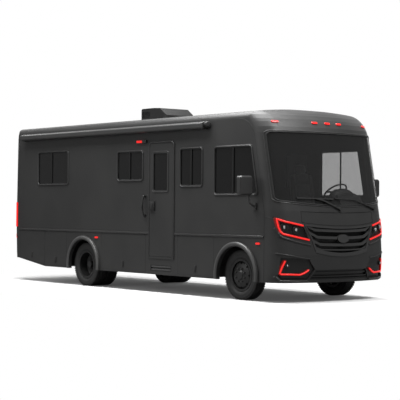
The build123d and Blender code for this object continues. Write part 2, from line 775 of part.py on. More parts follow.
def storage_bays():
    """The open boxes behind the bay doors, hung from the floor, on the right side."""
    shapes = []
    under = FLOOR_Z - FLOOR_T
    lift = BAY_LOW_Z - SKIRT_BOTTOM_Z
    outer_y = -HALF_WIDTH + SKIRT_T
    for rear, front in BAYS:
        low_rear, low_front = skirt_low_z(rear) + lift, skirt_low_z(front) + lift
        t = BAY_WALL_T
        shell = polygon([(rear - t, low_rear - t), (front + t, low_front - t), (front + t, under),
                         (rear - t, under)])
        room = polygon([(rear, low_rear), (front, low_front), (front, under + 10), (rear, under + 10)])
        walls = along_y(shell - room, outer_y, outer_y + BAY_DEPTH)
        back = along_y(shell, outer_y + BAY_DEPTH, outer_y + BAY_DEPTH + t)
        shapes.append(walls + back)
    return Compound(shapes)


STEPWELL = (560.0, 1290.0)
STEP_DEPTH = 430.0
STEP_T = 16.0
STEP_LOW_Z = 660.0
STEP_MID_Z = 835.0
STEP_TREAD = 215.0
ENGINE = (3300.0, 3930.0, 270.0, 560.0, 1180.0)
COVER_GAP = 60.0
COVER_T = 18.0
COVER_TOP_Z = 1330.0
COVER_EDGE_R = 40.0
LINER_X = (3640.0, 3652.0)
LINER_LOW_Z = 520.0


FLOOR_TAIL = (-4240.0, 1050.0)
FLOOR_SHOULDER_X = 3700.0
FLOOR_CHEEK = (3900.0, 1090.0)
FLOOR_NOSE_HALF = 700.0
FLOOR_STEP = 20.0
SILL_FRONT_X = 3240.0
LINER_INNER_Y = 500.0


def floor():
    """The floor plate on two long sills, the engine's cover and the panels ahead of the front wheels."""
    half = HALF_WIDTH - SKIRT_T
    under = FLOOR_Z - FLOOR_T
    edge = [
        FLOOR_TAIL, (REAR_SEAM_X, half - FLOOR_STEP), (REAR_SEAM_X, half), (FLOOR_SHOULDER_X, half),
        FLOOR_CHEEK, (FLOOR_FRONT_X, FLOOR_NOSE_HALF),
    ]
    points = [(x, -y) for x, y in edge] + edge[::-1]
    plate = Pos(0, 0, under) * extrude(polygon(points), FLOOR_T)
    x0, x1 = STEPWELL
    plate = plate - box(x0, x1, -WIDE, -half + STEP_DEPTH, 0, COVER_TOP_Z)
    plate = plate - engine_room()
    sill = box(REAR_SEAM_X, SILL_FRONT_X, RAIL_Y, RAIL_Y + RAIL_W, RAIL_TOP_Z, under - SEAT_GAP)
    liner = box(*LINER_X, -half, -LINER_INNER_Y, LINER_LOW_Z, under - SEAT_GAP)
    pieces = (plate, engine_cover(), sill, other_side(sill), liner, other_side(liner))
    return Compound([solid for piece in pieces for solid in piece.solids()])


def entry_steps():
    """The stepwell inside the entry door, two treads and their risers."""
    x0, x1 = STEPWELL
    half = HALF_WIDTH - SKIRT_T
    outer = -half
    under = FLOOR_Z - FLOOR_T
    inner = outer + STEP_DEPTH
    t = STEP_T
    stairs = [
        (outer, STEP_LOW_Z - t), (outer + STEP_TREAD, STEP_LOW_Z - t), (outer + STEP_TREAD, STEP_MID_Z - t),
        (inner + t, STEP_MID_Z - t), (inner + t, under), (inner, under), (inner, STEP_MID_Z),
        (outer + STEP_TREAD - t, STEP_MID_Z), (outer + STEP_TREAD - t, STEP_LOW_Z), (outer, STEP_LOW_Z),
    ]
    well = along_x(polygon(stairs), x0, x1)
    tread = outer + STEP_TREAD
    side = [(outer, STEP_LOW_Z - t), (tread, STEP_LOW_Z - t), (tread, STEP_MID_Z - t),
            (inner + t, STEP_MID_Z - t), (inner + t, under), (outer, under)]
    for x in (x0 - t, x1):
        well = well + along_x(polygon(side), x, x + t)
    return Compound([*well.solids(), *folded_step().solids()])


STEP_POCKET = (596.0, 1235.0, 394.0, 518.0)
STEP_RIM = 14.0
STEP_BOARD_H = 34.0
STEP_BOARDS_Z = (428.0, 484.0)


def folded_step():
    """The pull-out step, pushed in, below the door: a frame with two boards."""
    x0, x1, z0, z1 = STEP_POCKET
    y = -HALF_WIDTH
    back = y + SKIRT_T - STEP_RIM
    hole = box(x0 + STEP_RIM, x1 - STEP_RIM, y - STEP_RIM, back, z0 + STEP_RIM, z1 - STEP_RIM)
    step = step_pocket(SEAT_GAP) & box(x0, x1, y, y + SKIRT_T, z0, z1)
    step = step - hole
    for z in STEP_BOARDS_Z:
        step = step + box(x0 + STEP_RIM - 1, x1 - STEP_RIM + 1, y + 6, y + SKIRT_T - STEP_RIM + 1,
                          z - STEP_BOARD_H / 2, z + STEP_BOARD_H / 2)
    return step


def step_pocket(inset):
    """The hole in the skirt for the pull-out step, set in by a width."""
    x0, x1, z0, z1 = STEP_POCKET
    return box(x0 + inset, x1 - inset, -WIDE, -HALF_WIDTH + 2 * SKIRT_T, z0 + inset, z1 - inset)


def engine_room():
    """The space round the engine that the floor and its cover leave open."""
    x0, x1, y, _, _ = ENGINE
    gap = COVER_GAP
    return box(x0 - gap, x1 + gap, -y - gap, y + gap, 0, COVER_TOP_Z - COVER_T)


def engine_cover(grow=0.0):
    """The raised cover over the engine between the front seats."""
    x0, x1, y, _, _ = ENGINE
    gap = COVER_GAP + COVER_T + grow
    low = FLOOR_Z + SEAT_GAP - grow
    shell = box(x0 - gap, x1 + gap, -y - gap, y + gap, low, COVER_TOP_Z + grow)
    top = shell.faces().sort_by(Axis.Z)[-1]
    return fillet(top.edges(), COVER_EDGE_R) - engine_room()


def engine_block():
    """The engine as one plain block at its real place."""
    x0, x1, y, z0, z1 = ENGINE
    return box(x0, x1, -y, y, z0, z1)


# Chassis

def chassis_frame():
    """Two channel rails with their cross members."""
    low = RAIL_TOP_Z - RAIL_H
    web = RAIL_Y + RAIL_W - RAIL_WALL
    channel = polygon([
        (RAIL_Y, low), (RAIL_Y + RAIL_W, low), (RAIL_Y + RAIL_W, RAIL_TOP_Z), (RAIL_Y, RAIL_TOP_Z),
        (RAIL_Y, RAIL_TOP_Z - RAIL_WALL), (web, RAIL_TOP_Z - RAIL_WALL), (web, low + RAIL_WALL),
        (RAIL_Y, low + RAIL_WALL),
    ])
    rail = along_x(channel, RAIL_REAR_X, RAIL_FRONT_X)
    pieces = [rail, other_side(rail)]
    middle = low + RAIL_H / 2
    reach, half, t = web - SEAT_GAP, CROSS_H / 2, CROSS_WALL
    for x in CROSS_XS:
        member = box(x - CROSS_W / 2, x + CROSS_W / 2, -reach, reach, middle - half, middle + half)
        low, high = middle - half + t, middle + half - t
        room = box(x - CROSS_W / 2 + t, x + CROSS_W, t - reach, reach - t, low, high)
        pieces.append(member - room)
    return Compound([solid for piece in pieces for solid in piece.solids()])


SPRING_HALF = 600.0
SPRING_RISE = 90.0
SPRING_T = 36.0
SPRING_W = 76.0
SPRING_Y = 435.0
HANGER_W = 50.0
BEAM_TOP_Z = 420.0
BEAM_LOW_Z = 330.0
BEAM_DROP_Y = 640.0
BEAM_HALF_W = 42.0
BEAM_FLANGE = 22.0
BEAM_GROOVE = 18.0
AXLE_TUBE_R = 55.0
PAD_T = 20.0
SPRINGS = (
    # axle X, height of the seat on the axle
    (FRONT_AXLE_X, BEAM_TOP_Z + PAD_T),
    (REAR_AXLE_X, TYRE_R + AXLE_TUBE_R + PAD_T),
)


def leaf_springs():
    """Four bowed springs with their hangers under the rails."""
    shapes = []
    rail_low = RAIL_TOP_Z - RAIL_H
    for axle_x, seat_z in SPRINGS:
        ends_z = seat_z + SPRING_RISE
        x0, x1 = axle_x - SPRING_HALF, axle_x + SPRING_HALF
        edges = [
            ThreePointArc((x0, ends_z), (axle_x, seat_z), (x1, ends_z)),
            Line((x1, ends_z), (x1, ends_z + SPRING_T)),
            ThreePointArc((x1, ends_z + SPRING_T), (axle_x, seat_z + SPRING_T), (x0, ends_z + SPRING_T)),
            Line((x0, ends_z + SPRING_T), (x0, ends_z)),
        ]
        y0, y1 = -SPRING_Y - SPRING_W / 2, -SPRING_Y + SPRING_W / 2
        spring = along_y(make_face(edges), y0, y1)
        for x in (x0, x1 - HANGER_W):
            spring = spring + box(x, x + HANGER_W, y0, y1, ends_z + 10, rail_low)
        shapes.append(spring)
    return both_sides(Compound(shapes))


EYE_R = 46.0


def front_axle():
    """The dropped beam with an eye for the kingpin at each end."""
    eye_low, eye_top = TYRE_R - AXLE_EYE_H / 2, TYRE_R + AXLE_EYE_H / 2
    reach = KINGPIN_Y - 30
    outline = polygon([
        (-reach, eye_low), (-reach + 50, eye_low), (-BEAM_DROP_Y, BEAM_LOW_Z), (BEAM_DROP_Y, BEAM_LOW_Z),
        (reach - 50, eye_low), (reach, eye_low), (reach, eye_top), (BEAM_DROP_Y, BEAM_TOP_Z),
        (-BEAM_DROP_Y, BEAM_TOP_Z), (-reach, eye_top),
    ])
    beam = Pos(FRONT_AXLE_X, 0, 0) * along_x(outline, -BEAM_HALF_W, BEAM_HALF_W)
    end_y, drop_y = reach - 60, BEAM_DROP_Y - 10
    low_z, top_z = BEAM_LOW_Z + BEAM_FLANGE, BEAM_TOP_Z - BEAM_FLANGE
    groove = polygon([
        (-end_y, eye_low + BEAM_FLANGE), (-drop_y, low_z), (drop_y, low_z), (end_y, eye_low + BEAM_FLANGE),
        (end_y, eye_top - BEAM_FLANGE), (drop_y, top_z), (-drop_y, top_z), (-end_y, eye_top - BEAM_FLANGE),
    ])
    for x in (-BEAM_HALF_W, BEAM_HALF_W - BEAM_GROOVE):
        beam = beam - Pos(FRONT_AXLE_X, 0, 0) * along_x(groove, x, x + BEAM_GROOVE)
    for side in (-1, 1):
        place = Pos(FRONT_AXLE_X, side * KINGPIN_Y, TYRE_R)
        beam = beam + place * Cylinder(EYE_R, AXLE_EYE_H)
        beam = beam - place * Cylinder(KINGPIN_R + PIN_GAP, AXLE_EYE_H + 20)
        seat = side * SPRING_Y
        beam = beam + box(FRONT_AXLE_X - 50, FRONT_AXLE_X + 50, seat - 45, seat + 45, BEAM_TOP_Z - 10,
                          BEAM_TOP_Z + PAD_T - SEAT_GAP)
    return beam


WEB_OFFSET = 54.0
WEB_T = 24.0
SPINDLE_END_Y = 1160.0
STEER_ARM = (-110.0, 15.0)
STEER_ARM_SIZE = (150.0, 40.0, 26.0)


def knuckle():
    """The left steering knuckle: two lugs on the kingpin, a web and the wheel's spindle."""
    lug_gap = 2.0
    half = KNUCKLE_H / 2
    lug_h = half - AXLE_EYE_H / 2 - lug_gap
    shape = Cylinder(KINGPIN_R, KNUCKLE_H - 4)
    for side in (-1, 1):
        z = side * (AXLE_EYE_H / 2 + lug_gap + lug_h / 2)
        neck = Pos(0, WEB_OFFSET / 2, 0) * Box(2 * EYE_R, WEB_OFFSET + 2, lug_h)
        shape = shape + Pos(0, 0, z) * (Cylinder(EYE_R, lug_h) + neck)
    shape = shape + Pos(0, WEB_OFFSET + WEB_T / 2, 0) * Box(2 * EYE_R, WEB_T, KNUCKLE_H)
    arm = Pos(STEER_ARM[0], 0, -half + STEER_ARM[1]) * Box(*STEER_ARM_SIZE)
    shape = shape + arm
    shape = Pos(FRONT_AXLE_X, KINGPIN_Y, TYRE_R) * shape
    root = (FRONT_AXLE_X, KINGPIN_Y + WEB_OFFSET + 4, TYRE_R)
    spindle = rod(root, (FRONT_AXLE_X, SPINDLE_END_Y, TYRE_R), SPINDLE_R)
    return shape + spindle


REAR_SPINDLE_Y = 700.0
REAR_SPINDLE_END_Y = 1110.0
DIFF_R = 185.0
DIFF_HALF = 170.0
PINION_R = 62.0
PINION_REACH = 260.0
PINION_RISE = 30.0


def rear_axle():
    """The driven axle: a round tube, the bulge of its gears and a spindle at each end."""
    half = REAR_SPINDLE_Y
    section = [(-half, 0), (-half, AXLE_TUBE_R), (half, AXLE_TUBE_R), (half, 0)]
    tube = turn_about_y(section, REAR_AXLE_X, TYRE_R)
    right = [(50, DIFF_R), (110, DIFF_R - 40), (DIFF_HALF, 70), (DIFF_HALF, 0)]
    left = [(-y, radius) for y, radius in reversed(right)]
    bulge = turn_about_y(left + right, REAR_AXLE_X, TYRE_R)
    nose_z = TYRE_R + PINION_RISE
    nose = rod((REAR_AXLE_X, 0, nose_z), (REAR_AXLE_X + PINION_REACH, 0, nose_z), PINION_R)
    axle = tube + bulge + nose
    for side in (-1, 1):
        root, tip = side * (half - 5), side * REAR_SPINDLE_END_Y
        axle = axle + rod((REAR_AXLE_X, root, TYRE_R), (REAR_AXLE_X, tip, TYRE_R), SPINDLE_R)
        seat = side * SPRING_Y
        axle = axle + box(REAR_AXLE_X - 50, REAR_AXLE_X + 50, seat - 45, seat + 45, TYRE_R,
                          TYRE_R + AXLE_TUBE_R + PAD_T - SEAT_GAP)
    return axle


SHAFT_R = 38.0
GEARBOX_Z = 700.0
GEARBOX_END_X = 2680.0
GEARBOX_TAIL_R = 70.0
GEARBOX_SIDE = (
    # radius, distance behind the engine
    (190, 0), (190, 120), (130, 200), (110, 520),
)


def drive_line():
    """The gearbox behind the engine and the shaft to the rear axle."""
    x0 = ENGINE[0]
    length = x0 - GEARBOX_END_X
    box_face = make_face(Polyline((0, 0), *GEARBOX_SIDE, (GEARBOX_TAIL_R, length), (0, length), close=True))
    gearbox = Pos(x0, 0, GEARBOX_Z) * Rot(0, -90, 0) * Rot(90, 0, 0) * revolve(box_face, Axis.Y)
    end = (REAR_AXLE_X + PINION_REACH + SEAT_GAP, 0, TYRE_R + PINION_RISE)
    shaft = rod((GEARBOX_END_X + SHAFT_R, 0, GEARBOX_Z), end, SHAFT_R)
    shaft = shaft & box(end[0], GEARBOX_END_X - SEAT_GAP, -RAIL_Y, RAIL_Y, 0, FLOOR_Z)
    return Compound([*gearbox.solids(), *shaft.solids()])


FUEL_TANK = (-3900.0, -3150.0, -340.0, 130.0, 430.0)
EXHAUST_Y = 245.0
EXHAUST_Z = 600.0
EXHAUST_R = 32.0
MUFFLER = (900.0, 1700.0, 92.0)


def fuel_tank():
    """The tank between the rails, held up to a cross member."""
    x0, x1, y0, y1, z0 = FUEL_TANK
    top = RAIL_TOP_Z - RAIL_H / 2 - CROSS_H / 2
    tank = box(x0, x1, y0, y1, z0, top)
    return fillet(tank.edges().filter_by(Axis.X), 50)


def exhaust():
    """The pipe from the engine to the tail, with its silencer."""
    pipe = rod((ENGINE[0], EXHAUST_Y, EXHAUST_Z), (REAR_X + 120, EXHAUST_Y, EXHAUST_Z), EXHAUST_R)
    x0, x1, radius = MUFFLER
    return pipe + rod((x0, EXHAUST_Y, EXHAUST_Z), (x1, EXHAUST_Y, EXHAUST_Z), radius)


HITCH_Z = 438.0
HITCH_OUTER = 64.0
HITCH_INNER = 51.5
HITCH_REAR_X = -4345.0
HITCH_LENGTH = 260.0
HITCH_PIN_R = 8.15
HITCH_PIN_X = -4300.0
HITCH_BAR = 60.0


def hitch_receiver():
    """The square socket for a tow bar on its cross tube and side plates."""
    x0, x1 = HITCH_REAR_X, HITCH_REAR_X + HITCH_LENGTH
    half = HITCH_OUTER / 2
    socket = box(x0, x1, -half, half, HITCH_Z - half, HITCH_Z + half)
    bar_half = RAIL_Y + RAIL_W
    bar = box(x1 - HITCH_BAR, x1, -bar_half, bar_half, HITCH_Z - HITCH_BAR / 2, HITCH_Z + HITCH_BAR / 2)
    shape = socket + bar
    for side in (-1, 1):
        low, high = sorted((side * RAIL_Y, side * bar_half))
        bar_low = HITCH_Z - HITCH_BAR / 2
        shape = shape + box(x1 - 130, x1 + 60, low + 25, high - 25, bar_low, RAIL_TOP_Z - RAIL_H)
    hollow = HITCH_INNER / 2
    shape = shape - box(x0 - 10, x1 - HITCH_BAR - 5, -hollow, hollow, HITCH_Z - hollow, HITCH_Z + hollow)
    pin = rod((HITCH_PIN_X, -100, HITCH_Z), (HITCH_PIN_X, 100, HITCH_Z), HITCH_PIN_R)
    return shape - pin


# Wheels

def tyre_section(outer_y):
    """Half section of one tyre: (distance out, radius)."""
    inner_y = outer_y - TYRE_W
    seat = RIM_R + SEAT_GAP
    bead = 29.3
    return [
        (inner_y + bead, seat), (inner_y + bead, FLANGE_R + 6), (inner_y, TYRE_R - 84),
        (inner_y + 8, TYRE_R - 28), (inner_y + 34, TYRE_R),
        (outer_y - 34, TYRE_R), (outer_y - 8, TYRE_R - 28), (outer_y, TYRE_R - 84),
        (outer_y - bead, FLANGE_R + 6), (outer_y - bead, seat),
    ]


def rim_section(outer_y, disc):
    """Half section of a rim with the disc that the list gives, from its bore out."""
    bead = 29.0
    flange = 11.0
    low, high = outer_y - TYRE_W + bead, outer_y - bead
    barrel = RIM_R - RIM_T
    return [
        (low - flange, FLANGE_R), (low, FLANGE_R), (low, RIM_R), (high, RIM_R), (high, FLANGE_R),
        (high + flange, FLANGE_R), (high + flange, barrel), *disc, (low - flange, barrel),
    ]


def front_wheel():
    """The left front wheel: rim, domed disc and closed hub."""
    out = FRONT_OUTER_Y
    bore = SPINDLE_R + PIN_GAP
    disc = [
        (out - 55, RIM_R - RIM_T), (out - 24, 205), (out - 8, 150), (out - 2, 104), (out - 2, HUB_R),
        (out + 14, 66), (out + 14, 0), (out - 8, 0),
        (out - 8, bore), (out - 168, bore), (out - 168, HUB_R), (out - 26, HUB_R),
        (out - 20, 104), (out - 26, 148), (out - 40, 197), (out - 73, RIM_R - RIM_T),
    ]
    wheel = turn_about_y(rim_section(out, disc), FRONT_AXLE_X, TYRE_R)
    return wheel - hand_holes(FRONT_AXLE_X, out - 100, out, FRONT_HOLES)


HAND_HOLES = 8
FRONT_HOLES = (206.0, 17.0)
REAR_HOLES = (150.0, 24.0)
DISC_T = 12.0
DISC_R = 190.0


def hand_holes(axle_x, y0, y1, row):
    """The ring of round holes in a wheel's disc, as the rods that cut them."""
    pitch_r, hole_r = row
    rods = []
    for count in range(HAND_HOLES):
        angle = math.tau * count / HAND_HOLES
        x, z = axle_x + pitch_r * math.cos(angle), TYRE_R + pitch_r * math.sin(angle)
        rods.append(rod((x, y0, z), (x, y1, z), hole_r))
    return Compound(rods)


def front_tyre():
    """The left front tyre."""
    return turn_about_y(tyre_section(FRONT_OUTER_Y), FRONT_AXLE_X, TYRE_R)


def rear_wheel():
    """The left rear pair of wheels on one hub."""
    out = REAR_OUTER_Y
    inner_out = out - DUAL_PITCH
    bore = SPINDLE_R + PIN_GAP
    face_y = out - TYRE_W / 2 - DUAL_PITCH / 2
    barrel = RIM_R - RIM_T
    outer_y, inner_y = face_y + DISC_T, face_y - DISC_T
    outer_disc = [(outer_y + 50, barrel), (outer_y, DISC_R), (outer_y, HUB_R), (face_y, HUB_R),
                  (face_y, DISC_R), (face_y + 44, barrel)]
    inner_disc = [(face_y - 44, barrel), (face_y, DISC_R), (face_y, HUB_R), (inner_y, HUB_R),
                  (inner_y, DISC_R), (inner_y - 50, barrel)]
    wheel = turn_about_y(rim_section(out, outer_disc), REAR_AXLE_X, TYRE_R)
    wheel = wheel + turn_about_y(rim_section(inner_out, inner_disc), REAR_AXLE_X, TYRE_R)
    root_y, cap_y = REAR_SPINDLE_Y + 20, REAR_SPINDLE_END_Y + 30
    hub = [(root_y, bore), (root_y, HUB_R + 1), (outer_y + 1, HUB_R + 1), (face_y + 40, 72),
           (cap_y, 64), (cap_y, 0), (cap_y - 20, 0), (cap_y - 20, bore)]
    wheel = wheel + turn_about_y(hub, REAR_AXLE_X, TYRE_R)
    return wheel - hand_holes(REAR_AXLE_X, face_y - barrel, face_y + barrel, REAR_HOLES)


def rear_tyres():
    """The left rear pair of tyres."""
    outer_ys = (REAR_OUTER_Y, REAR_OUTER_Y - DUAL_PITCH)
    pair = [turn_about_y(tyre_section(outer_y), REAR_AXLE_X, TYRE_R) for outer_y in outer_ys]
    return Compound([s for shape in pair for s in shape.solids()])


# Roof and outside fittings

AWNING = (-3840.0, 2210.0, 2950.0, 3088.0)
AWNING_OUT = 135.0
AWNING_CAP = 60.0
AWNING_CAP_LIP = 6.0
AIR_CON = (-1060.0, -200.0, 350.0, 3535.0)
AIR_SLOTS = (-985.0, -730.0, 3358.0, 24.0, 12.0)
AIR_SLOT_COUNT = 5
AIR_SLOT_DEPTH = 18.0


def awning():
    """The closed box of the roll-out awning along the right side."""
    x0, x1, z0, z1 = AWNING
    y = -HALF_WIDTH
    section = polygon([(y, z0), (y - AWNING_OUT, z0 + 20), (y - AWNING_OUT, z1 - 30), (y - 60, z1), (y, z1)])
    rounded = fillet(section.vertices().sort_by(Axis.X)[:3], 24)
    case = along_x(rounded, x0, x1)
    for x, side in ((x0, -1), (x1, 1)):
        low, high = sorted((x, x + side * AWNING_CAP))
        outside = box(low, high, y - WIDE, y, z0 - WIDE, z1 + WIDE)
        cap = along_x(offset(rounded, amount=AWNING_CAP_LIP), low, high) & outside
        case = case + cap
    return case


def roof_air_conditioner():
    """The rounded housing of the roof air conditioner, seated on the roof's crown."""
    x0, x1, half, top = AIR_CON
    low = ROOF_CROWN_Z - 30
    outline = [(x0, low), (x1, low), (x1, low + 120), (x1 - 210, top - 10), (x1 - 420, top), (x0 + 70, top),
               (x0, top - 60)]
    case = along_y(polygon(outline), -half, half)
    case = fillet(case.edges().filter_by(Axis.Z), 60)
    start, end, slot_low, pitch, height = AIR_SLOTS
    for count in range(AIR_SLOT_COUNT):
        z = slot_low + count * pitch
        cut = box(start, end, -half - 1, -half + AIR_SLOT_DEPTH, z, z + height)
        case = case - cut - other_side(cut)
    return case - coach_tube(-SEAT_GAP, -SEAT_GAP, x0 - 50, x1 + 50)


MIRROR_X = 3550.0
MIRROR_HOUSING = (HALF_WIDTH + 100.0, HALF_WIDTH + 375.0, 1790.0, 2115.0)
MIRROR_BASE = (3540.0, 1600.0)
MIRROR_DEPTH = (45.0, 55.0)
MIRROR_CORNER_R = 48.0
MIRROR_EDGE_R = 34.0


def mirrors():
    """Both door mirrors, each on an arm from a foot on the wall."""
    y0, y1, z0, z1 = MIRROR_HOUSING
    face = polygon([(-y1, z0), (-y0, z0), (-y0, z1), (-y1, z1)], MIRROR_CORNER_R)
    head = along_x(face, MIRROR_X - MIRROR_DEPTH[0], MIRROR_X + MIRROR_DEPTH[1])
    head = fillet(head.faces().sort_by(Axis.X)[-1].edges(), MIRROR_EDGE_R)
    foot_x, foot_z = MIRROR_BASE
    foot = box(foot_x - 45, foot_x + 45, -HALF_WIDTH - 26, -HALF_WIDTH, foot_z - 60, foot_z + 60)
    knee = (MIRROR_X, -(y0 + 30), foot_z + 60)
    arm = rod((foot_x, -HALF_WIDTH - 10, foot_z), knee, 20) + rod(knee, (MIRROR_X, -(y0 + 60), z0 + 10), 20)
    return both_sides(head + foot + arm + Pos(*knee) * Sphere(20))


WIPERS = (
    # pivot Y, pivot Z, elbow Y, elbow Z, blade start Y, Z, blade end Y, Z
    (-33, 1570, -389, 1716, -171, 1738, -889, 1752),
    (905, 1586, 368, 1733, 538, 1733, -118, 1748),
)


def wiper_strip(y0, z0, y1, z1, width, outer, inner):
    """A narrow strip that follows the windshield between two points."""
    length = math.hypot(y1 - y0, z1 - z0)
    tilt = math.degrees(math.atan2(z1 - z0, y1 - y0))
    strip = Pos((y0 + y1) / 2, (z0 + z1) / 2) * Rot(0, 0, tilt) * Rectangle(length, width)
    return front_skin(outer, inner, face_mask(strip))


def wipers():
    """Two wiper arms with their blades, parked along the foot of the windshield."""
    shapes = []
    for pivot_y, pivot_z, elbow_y, elbow_z, y0, z0, y1, z1 in WIPERS:
        arm = wiper_strip(pivot_y, pivot_z, elbow_y, elbow_z, 24, -30, -12)
        middle_y, middle_z = (y0 + y1) / 2, (z0 + z1) / 2
        link = wiper_strip(elbow_y, elbow_z, middle_y, middle_z, 24, -30, -12)
        blade = wiper_strip(y0, z0, y1, z1, 20, -24, -0.5)
        boss = front_skin(-36, 0, face_mask(Pos(pivot_y, pivot_z) * Circle(30)))
        shapes.extend((arm + link + blade + boss).solids())
    return Compound(shapes)


ROOF_MARKERS = ((-1050, 3037), (-285, 3037), (0, 3036), (285, 3037), (1050, 3037))
MARKER_SIZE = (112.0, 32.0)
SIDE_MARKERS = ((-1195, 976), (3624, 981))
SIDE_MARKER_SIZE = (100.0, 34.0)
PORCH_LAMP = (168.0, 455.0, 2780.0, 2822.0)
TAIL_LAMP = (1140.0, 1660.0)
TAIL_LAMP_FRONT_X = -4210.0
TAIL_LAMP_INNER_Y = 1150.0
REAR_MARKERS_Y = (-1000, -150, 0, 150, 1000)
REAR_MARKERS_Z = 3020.0
BEHIND = 100.0


def marker_lamps():
    """The small lamps on the roof's front and rear edges and on the sides."""
    width, height = MARKER_SIZE
    shapes = []
    for y, z in ROOF_MARKERS:
        pod = Pos(y, z) * SlotOverall(width, height)
        shapes.append(front_skin(-16, -SEAT_GAP, face_mask(pod)))
    for y in REAR_MARKERS_Y:
        pod = along_x(Pos(y, REAR_MARKERS_Z) * SlotOverall(width, height), REAR_X - BEHIND, REAR_SEAM_X - 50)
        shapes.append((pod & rear_form(-16)) - rear_form(-SEAT_GAP))
    length, height = SIDE_MARKER_SIZE
    for x, z in SIDE_MARKERS:
        pod = along_y(Pos(x, z) * SlotOverall(length, height), -HALF_WIDTH - 14, -HALF_WIDTH - SEAT_GAP)
        shapes.extend([pod, other_side(pod)])
    x0, x1, z0, z1 = PORCH_LAMP
    shapes.append(box(x0, x1, -HALF_WIDTH - 34, -HALF_WIDTH - SEAT_GAP, z0, z1))
    return Compound([s for shape in shapes for s in shape.solids()])


def tail_lamps():
    """The upright lamps that wrap the rear corners."""
    low, high = TAIL_LAMP
    block = box(REAR_X - BEHIND, TAIL_LAMP_FRONT_X, -WIDE, -TAIL_LAMP_INNER_Y, low, high)
    lamp = (block & rear_form(-14)) - rear_form(-SEAT_GAP)
    return both_sides(lamp)


GRAB = (362.0, 470.0, 1385.0, 1814.0)


GRAB_R = 15.0
GRAB_FOOT = (34.0, 10.0)
GRAB_BOW = (40.0, 68.0)


def grab_handle():
    """The bowed handle beside the entry door, between two feet."""
    x0, x1, z0, z1 = GRAB
    y = -HALF_WIDTH
    x = (x0 + x1) / 2
    near, far = GRAB_BOW
    foot_r, foot_t = GRAB_FOOT
    low, high = z0 + foot_r, z1 - foot_r
    path = ThreePointArc((x, y - near, low), (x, y - far, (low + high) / 2), (x, y - near, high))
    bar = sweep(Plane(origin=path @ 0, z_dir=path % 0) * Circle(GRAB_R), path)
    for z in (low, high):
        bar = bar + rod((x, y, z), (x, y - near, z), GRAB_R) + Pos(x, y - near, z) * Sphere(GRAB_R)
        bar = bar + rod((x, y, z), (x, y - foot_t, z), foot_r)
    return bar


# Cab

RADIATOR = (60.0, 430.0, 600.0, 1165.0)


def radiator():
    """The radiator behind the grille, in front of the rails."""
    thickness, half, low, top = RADIATOR
    return box(RAIL_FRONT_X + SEAT_GAP, RAIL_FRONT_X + thickness, -half, half, low, top)


DASH_REAR_X = 3640.0
DASH_LOW_Z = 1180.0
DASH_TOP = (
    # X, Z along the top from the rear edge
    (DASH_REAR_X, 1560), (3720, 1625), (4400, 1600),
)
HOOD_OF_DIALS = ((3660, 1500), (3660, 1780), (3720, 1860), (3900, 1800), (4010, 1600))
DIALS_Y = (300.0, 840.0)
DASH_INSET = 90.0
KICK_INSET = 140.0
KICK_T = 20.0


def dashboard():
    """The dashboard under the windshield, with the hump before the driver."""
    profile = polygon([(DASH_REAR_X, DASH_LOW_Z), *DASH_TOP, (DASH_TOP[-1][0], DASH_LOW_Z)])
    half = HALF_WIDTH - WALL_T - 30
    block = along_y(profile, -half, half)
    kick = box(KICK_X, KICK_X + KICK_T, -half, half, FLOOR_Z, DASH_LOW_Z + 1) & front_form(KICK_INSET)
    hump = along_y(polygon(HOOD_OF_DIALS), *DIALS_Y)
    shape = ((block + hump) & front_form(DASH_INSET)) + kick
    cover = engine_cover(SEAT_GAP)
    return shape - cover - engine_room() - steering_column(COLUMN_R + 1)


STEER_WHEEL = (3560.0, 570.0, 1870.0)
STEER_R = 215.0
STEER_TILT = 38.0
COLUMN_R = 26.0
COLUMN_DROP = 150.0
COLUMN_H = 270.0
KICK_X = 3992.0


def steering_wheel():
    """The driver's wheel with its spokes and column."""
    ring = Torus(STEER_R, 15)
    hub = Cylinder(58, 40)
    spokes = Box(2 * STEER_R, 34, 16) + Pos(0, -STEER_R / 2, 0) * Box(34, STEER_R, 16)
    wheel = Rot(0, -STEER_TILT, 0) * Rot(0, 0, -90) * (ring + hub + spokes)
    return Pos(*STEER_WHEEL) * wheel + steering_column(COLUMN_R)


def steering_column(radius):
    """The column from the wheel down into the dashboard."""
    return Pos(*STEER_WHEEL) * Rot(0, -STEER_TILT, 0) * Pos(0, 0, -COLUMN_DROP) * Cylinder(radius, COLUMN_H)


SEAT_X = 2960.0
SEAT_Y = 570.0
SEAT_TOP_Z = 1590.0
SEAT_W = 520.0
SEAT_T = 150.0
SEAT_REACH = (250.0, 280.0)
BACK_H = 690.0
BACK_T = 120.0
BACK_SETBACK = 200.0
BACK_TILT = 8.0
REST_W = 260.0
REST_H = 190.0
REST_T = 96.0
PEDESTAL = (170.0, 190.0, 170.0)
CUSHION_R = 40.0


